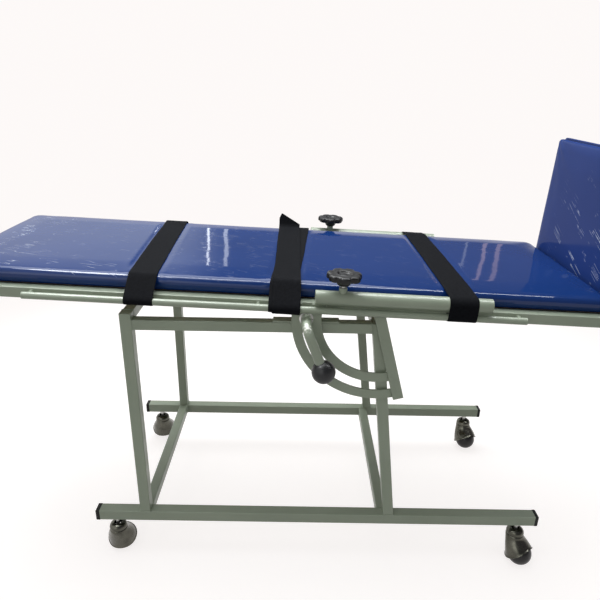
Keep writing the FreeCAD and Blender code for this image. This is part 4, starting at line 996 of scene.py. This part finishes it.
drift = across(line, marks, -256 * MM, -6 * MM, 1.5 * MM, 7, (3, 9))
band("middle_strap_return", line, marks, drift, ("middle_strap_tail",), lift=0.9 * MM, seed=4.2,
     tip=slanted, inset=1 * MM)
print("straps", 4)

# %% [markdown]
# A caster is a ball wheel under a spun steel hood. The hood starts as a neck round the stem
# with a groove rolled into it, widens sideways into a bell over the ball and ends in a lip
# that is turned outwards, with its mouth cut slanting so that the ball shows on one side. A
# loft does that: rows of points run from the neck to the mouth, first outside and then back
# inside, so that the sheet has a real thickness. A profile gives the radius at each height
# and how far the row has stepped towards the ball.
# %% Casters
# height above the floor, and radius round the stem, in millimetres
NECK = ((118, 12), (117.4, 16), (115.4, 20.5), (112.0, 24.2), (108.0, 26.2), (104.5, 27),
        (101.5, 27), (100.2, 26.2), (99.2, 24.9), (98.0, 24.9), (97.0, 26.2), (95.8, 27.2))
INSIDE_NECK = ((110, 21.0), (114, 12))
# height, step towards the ball, and radius
BELL = ((20, 28, 39.9), (28, 28, 42.5), (37, 28, 43.5), (47, 25.6, 43.0), (55, 22.6, 41.8),
        (63, 18.6, 39.6), (71, 13.6, 36.2), (79, 8.0, 32.4), (86, 3.5, 29.4), (92, 0.6, 27.8),
        (95.8, 0, 27.2))
BELL_HEIGHTS, BELL_STEPS, BELL_RADII = zip(*BELL)
# share of the way from the neck to the mouth, and how far the sheet stands out or in there
SHEET = ((0.08, 0), (0.2, 0), (0.33, 0), (0.46, 0), (0.58, 0), (0.7, 0), (0.8, 0), (0.88, 0),
         (0.93, 0.2), (0.965, 1.2), (0.985, 2.6), (1.0, 2.9), (1.012, 2.2), (1.012, 0.6),
         (0.99, -1.4), (0.95, -2.7), (0.85, -3.0), (0.6, -3.0), (0.3, -3.0), (0.0, -3.4))
MOUTH_MIDDLE, MOUTH_SLANT, MOUTH_LOWEST = 37, 30, 20


def mouth_height(turn):
    """The mouth rises towards the ball's open side and is level near the floor."""
    slant = MOUTH_MIDDLE + MOUTH_SLANT * math.cos(turn)
    return MOUTH_LOWEST + math.log1p(math.exp((slant - MOUTH_LOWEST) / 4)) * 4


def hood(key):
    stem = Vector(joints["caster_%s_turn" % key]["pos_m"])
    low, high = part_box("caster_wheel_" + key)
    trail = Vector(((low.x + high.x) / 2 - stem.x, (low.y + high.y) / 2 - stem.y, 0)).normalized()
    sideways = Vector((-trail.y, trail.x, 0))
    turns = [2 * math.pi * count / 72 for count in range(72)]
    neck_end = NECK[-1][0]

    def spot(turn, height, step, radius):
        flat = trail * (step + math.cos(turn) * radius) + sideways * math.sin(turn) * radius
        return Vector((stem.x, stem.y, 0)) + (flat + Vector((0, 0, height))) * MM

    def on_bell(turn, share, out):
        height = neck_end + (mouth_height(turn) - neck_end) * share
        step = float(np.interp(height, BELL_HEIGHTS, BELL_STEPS))
        return spot(turn, height, step, float(np.interp(height, BELL_HEIGHTS, BELL_RADII)) + out)

    rows = [[spot(turn, height, 0, radius) for turn in turns] for height, radius in NECK]
    rows += [[on_bell(turn, share, out) for turn in turns] for share, out in SHEET]
    rows += [[spot(turn, height, 0, radius) for turn in turns] for height, radius in INSIDE_NECK]
    build("caster_hood_%s_spun" % key, *stacked(rows), FLAT, "caster_%s_swivel" % key,
          "caster_metal", HOOD_METAL, replaced=("caster_hood_" + key,), sharp=70)


for key in ("head_near", "head_far", "foot_near", "foot_far"):
    hood(key)
    dressed("caster_wheel_" + key, "caster_%s_wheel" % key, "wheel_black", WHEEL_BLACK,
            edge=0.8 * MM)
print("hood rows", len(NECK) + len(SHEET) + len(INSIDE_NECK))

# %% [markdown]
# The star knobs are moulded: seven rounded lobes on a thick rim, a conical hub below and a
# dished centre with a ring above. Such a shape is a lathe's, except that its outline isn't a
# circle. So rows of points are stacked on the axis, each at its own height, and each row
# takes its radius from the lobed outline or from a circle.
# %% Star knobs
def turned(name, rows, centre, axis, *rest, segments=140, start=0.0, **more):
    """rows are (height, radius at a turn). Built round an axis through centre."""
    axis = Vector(axis).normalized()
    side = Vector((0, 1, 0)) if abs(axis.y) < 0.9 else Vector((1, 0, 0))
    first = (side - axis * side.dot(axis)).normalized()
    second = axis.cross(first)
    turns = [2 * math.pi * step / segments + start for step in range(segments)]
    stack = [[Vector(centre) + axis * height
              + (first * math.cos(turn) + second * math.sin(turn)) * radius_at(turn)
              for turn in turns] for height, radius_at in rows]
    return build(name, *stacked(stack, cap_first=True, cap_last=True), FLAT, *rest, **more)


def circle(radius):
    """A row's radius in millimetres, the same at every turn."""
    return lambda turn: radius * MM


# a round disc with seven round bites taken out of its rim, softened
LOBES, KNOB_R, BITE_R, BITE_AT, SAMPLES = 7, 46 * MM, 13 * MM, 53 * MM, 64
LOBE_TURN = 2 * math.pi / LOBES
samples = np.linspace(0, LOBE_TURN, SAMPLES, endpoint=False)
from_bite = (samples + LOBE_TURN / 2) % LOBE_TURN - LOBE_TURN / 2
inside = BITE_R ** 2 - (BITE_AT * np.sin(from_bite)) ** 2
bitten = BITE_AT * np.cos(from_bite) - np.sqrt(np.maximum(inside, 0))
lobed = np.minimum(np.where(inside > 0, bitten, KNOB_R), KNOB_R)
for _ in range(14):
    lobed = 0.25 * np.roll(lobed, 1) + 0.5 * lobed + 0.25 * np.roll(lobed, -1)


def lobe(inset, share=1.0, base=0.0):
    """The lobed outline drawn in by inset, or a mix of it with a circle, in millimetres."""
    def radius(turn):
        spot = (turn % LOBE_TURN) / LOBE_TURN * SAMPLES
        low = int(spot) % SAMPLES
        value = lobed[low] + (lobed[(low + 1) % SAMPLES] - lobed[low]) * (spot - int(spot))
        return share * (value - inset * MM) + (1 - share) * base * MM
    return radius


KNOB_ROWS = [
    (0, circle(6.3)), (0, circle(15.6)), (0.8, circle(16.4)), (6, circle(19)), (11, circle(23)),
    (13.5, circle(27)), (14.6, lobe(8, 0.5, 30)), (15.1, lobe(4.4)), (15.9, lobe(2.0)),
    (17.6, lobe(0.5)), (20, lobe(0)), (26.5, lobe(0.1)), (29, lobe(0.9)), (30.8, lobe(2.6)),
    (31.8, lobe(5.0)), (32, lobe(8.0)), (31.7, lobe(10.5, 0.6, 30)), (31.2, circle(26.5)),
    (31.3, circle(23.5)), (31.8, circle(22)), (31.9, circle(20.5)), (31.3, circle(19)),
    (29.6, circle(17.6)), (27.6, circle(16.6)), (27.0, circle(15)), (27.0, circle(8.5)),
    (27.6, circle(7.6)), (27.7, circle(2))]
THREAD_DOWN, HALF_PITCH, CREST, ROOT = 13 * MM, 0.75 * MM, circle(5.95), circle(5.45)
for side in ("near", "far"):
    nut_top = Vector(joints["knob_%s_turn" % side]["pos_m"])
    hub_gap = top_box("star_knob_" + side)[0][2] - (TOP.inverted() @ nut_top).z
    rows = [(height * MM, radius_at) for height, radius_at in KNOB_ROWS]
    turned("star_knob_%s_moulded" % side, rows, nut_top + upward * hub_gap, upward,
           "knob_" + side, "knob_plastic", KNOB_BLACK, replaced=("star_knob_" + side,),
           start=-math.pi, sharp=60)
    thread = [(step * HALF_PITCH - THREAD_DOWN, CREST if step % 2 else ROOT)
              for step in range(int((THREAD_DOWN + hub_gap) / HALF_PITCH))]
    turned("knob_stud_%s_threaded" % side, thread, nut_top, upward, "knob_" + side, "zinc", ZINC,
           segments=28, replaced=("knob_stud_" + side,), sharp=70)
    print("knob", side, "hub above its nut, mm", round(hub_gap / MM, 1))

# %% [markdown]
# The lever ends in a black ball pressed over the tube. A lathe profile makes it: a full round
# with a short flat collar where the tube goes in, along the line from the bend to the ball.
# %% Ball of the lever
BALL, COLLAR, COLLAR_TURN = 32, 14.0, 26
ball_low, ball_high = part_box("lever_ball")
ball_middle = (ball_low + ball_high) / 2
down_lever = Vector((ball_middle.x - clamp_pos.x, 0, ball_middle.z - clamp_pos.z)).normalized()
profile = [((-0.9 * BALL - 0.6) * MM, circle(COLLAR))]
for step in range(1, 40):
    turn = math.radians(COLLAR_TURN + (180 - COLLAR_TURN) * step / 40)
    profile.append((-BALL * MM * math.cos(turn), circle(BALL * math.sin(turn))))
turned("lever_ball_turned", profile, ball_middle, down_lever, "clamp_lever", "knob_plastic",
       BALL_BLACK, segments=64, replaced=("lever_ball",), sharp=50)
print("ball at", [round(part, 3) for part in ball_middle])

# %% [markdown]
# The stage is a pale floor that only keeps the object's shadow. A camera ray sees the floor
# nearly white, and plain white further out, while light that bounces off it stays moderate.
# That is the Light Path node's work, so the white never comes from more light on the object.
# %% Floor
BACKDROP = (0.985, 0.950, 0.938)


def backdrop_seen(tree):
    """1 for rays that show the background: straight, mirrored or through something clear."""
    ray = add(tree, "LightPath").outputs
    mirrored = maths(tree, ray["Is Glossy Ray"], ray["Is Transmission Ray"], "MAXIMUM")
    return maths(tree, ray["Is Camera Ray"], mirrored, "MAXIMUM")


def either(tree, share, first, second):
    choose = add(tree, "MixShader")
    tree.links.new(share, choose.inputs[0])
    tree.links.new(first, choose.inputs[1])
    tree.links.new(second, choose.inputs[2])
    return choose.outputs[0]


material = bpy.data.materials.new("studio_floor")
material.use_nodes = True
tree = material.node_tree
tree.nodes.remove(tree.nodes["Principled BSDF"])
shade = add(tree, "BsdfDiffuse", Roughness=0.5)
vary(tree, shade, "Color", cloud(tree, 2.0, 2.0), [
    (0.3, (0.41, 0.405, 0.40)), (0.7, (0.43, 0.425, 0.42))])
glow = add(tree, "Emission", Color=(*BACKDROP, 1), Strength=0.80)
both = add(tree, "AddShader")
tree.links.new(shade.outputs[0], both.inputs[0])
tree.links.new(glow.outputs[0], both.inputs[1])
white = add(tree, "Emission", Color=(*BACKDROP, 1), Strength=1.0)
middle = add(tree, "VectorMath", operation="LENGTH")
tree.links.new(place(tree), middle.inputs[0])
away = scaled(tree, middle.outputs["Value"], 1.3, 2.8, interpolation_type="SMOOTHSTEP")
shown = either(tree, away, both.outputs[0], white.outputs[0])
floor_seen = either(tree, backdrop_seen(tree), shade.outputs[0], shown)
tree.links.new(floor_seen, tree.nodes["Material Output"].inputs[0])
FLOOR_HALF = 30.0
corners = [(x * FLOOR_HALF, y * FLOOR_HALF, 0) for x, y in ((-1, -1), (1, -1), (1, 1), (-1, 1))]
floor_mesh = bpy.data.meshes.new("floor")
floor_mesh.from_pydata(corners, [], [(0, 1, 2, 3)])
floor_mesh.materials.append(material)
floor = bpy.data.objects.new("floor", floor_mesh)
scene.collection.objects.link(floor)
print("floor", 2 * FLOOR_HALF, "m wide")

# %% [markdown]
# Glossy vinyl is only as good as the room it mirrors. The world is white for the camera, and in
# reflections white near the horizon, as a studio's backdrop is. Higher up it mirrors a room: a
# bright wall towards the head end and a dim one towards the foot end. Diffuse light from it is
# even and a little cool.
# %% World
world = bpy.data.worlds.new("studio")
scene.world = world
world.use_nodes = True
tree = world.node_tree
room = tree.nodes["Background"]
room.inputs["Color"].default_value = (0.94, 0.97, 1.0, 1)
room.inputs["Strength"].default_value = 0.38
white = add(tree, "Background", Color=(*BACKDROP, 1), Strength=1.0)
looking = add(tree, "TexCoord").outputs["Generated"]
walls = ramp(tree, scaled(tree, one_axis(tree, 0, looking), -1.0, 1.0), [
    (0.20, (1.0, 1.0, 1.0)), (0.40, (0.88, 0.91, 0.90)),
    (0.45, (0.22, 0.23, 0.24)), (0.80, (0.16, 0.15, 0.17))])
mirrored = add(tree, "Background", Color=walls, Strength=1.3)
height = scaled(tree, one_axis(tree, 2, looking), 0.06, 0.20, interpolation_type="SMOOTHSTEP")
mirror = either(tree, height, white.outputs[0], mirrored.outputs[0])
straight = add(tree, "LightPath").outputs["Is Camera Ray"]
shown = either(tree, straight, mirror, white.outputs[0])
world_seen = either(tree, backdrop_seen(tree), room.outputs[0], shown)
tree.links.new(world_seen, tree.nodes["World Output"].inputs[0])
print("world", world.name)

# %% [markdown]
# The photograph is lit from above and behind, by a room's ceiling lights and windows: tops are
# bright, fronts are about half as bright. One broad lamp overhead and behind does that, and a
# long tube beside it draws the thin bright line on the pad's rounded edge. Narrow upright
# strips far behind are mirrored as faint streaks. The tubes and the strips only show in glossy
# skins and light nothing else. A weak lamp in front opens the shadows.
# %% Lamps
COOL, NEUTRAL, WINDOW = (0.95, 0.985, 1.0), (0.97, 0.99, 1.0), (0.92, 0.96, 1.0)
WARM, PINK = (1.0, 0.98, 0.96), (1.0, 0.72, 0.66)


def lamp(name, spot, target, size, power, color, only_mirrored=True):
    data = bpy.data.lights.new(name, "AREA")
    data.shape, data.size, data.size_y = "RECTANGLE", *size
    data.energy, data.color = power, color
    light = bpy.data.objects.new(name, data)
    scene.collection.objects.link(light)
    light.location = spot
    light.rotation_mode = "QUATERNION"
    light.rotation_quaternion = (Vector(target) - Vector(spot)).to_track_quat("-Z", "Y")
    light.visible_camera = False
    light.visible_diffuse = not only_mirrored


lamp("ceiling", (-0.3, 0.7, 3.1), (-0.1, 0.3, 0.6), (3.0, 2.8), 104, COOL, only_mirrored=False)
lamp("tube", (0.9, 0.25, 3.0), (0.9, 0.1, 0.9), (5.0, 0.5), 120, NEUTRAL)
lamp("tube_at_head", (-1.1, -0.2, 2.8), (-0.7, 0.0, 0.9), (1.0, 0.6), 46, NEUTRAL)
STRIPS = ((-1.08, 0.03, 0.6, WINDOW), (-0.84, 0.05, 0.4, WINDOW), (2.66, 0.05, 0.18, PINK),
          (2.86, 0.06, 0.18, PINK), (2.40, 0.03, 0.07, WINDOW))
for number, (x, wide, power, tint) in enumerate(STRIPS):
    lamp("strip_%d" % number, (x, 5.6, 2.55), (x * 0.2, 0.1, 0.95), (wide, 1.1), power, tint)
lamp("front_fill", (-1.2, -3.2, 2.2), (0, 0, 0.6), (2.2, 1.6), 12, WARM, only_mirrored=False)
print("lamps", len(bpy.data.lights))

# %% [markdown]
# The camera stands where the photographer stood. Its place and turn were worked out from the
# straight lines of the frame in the photograph, so the picture's edges cut the table where
# the photograph's do.
# %% Camera
BASE_ZERO = Vector((pivot.x - 0.845, pivot.y, 0))
EYE = Vector((0.6199, -1.688, 1.43495))
PITCH, ROLL, YAW = 0.37654, 0.01901, 0.0054
data = bpy.data.cameras.new("camera")
data.sensor_width, data.lens, data.clip_end = 36.0, 33.208, 100
camera = bpy.data.objects.new("camera", data)
scene.collection.objects.link(camera)
ahead = Vector((math.sin(YAW), math.cos(YAW), 0))
forward = ahead * math.cos(PITCH) - Vector((0, 0, math.sin(PITCH)))
level = Vector((math.cos(YAW), -math.sin(YAW), 0))
above = level.cross(forward)
right = level * math.cos(ROLL) + above * math.sin(ROLL)
up = above * math.cos(ROLL) - level * math.sin(ROLL)
turned_to = Matrix((right, up, -forward)).transposed().to_4x4()
camera.matrix_world = Matrix.Translation(BASE_ZERO + EYE) @ turned_to
scene.camera = camera
scene.view_settings.view_transform = "Standard"
print("camera", [round(part, 3) for part in BASE_ZERO + EYE])
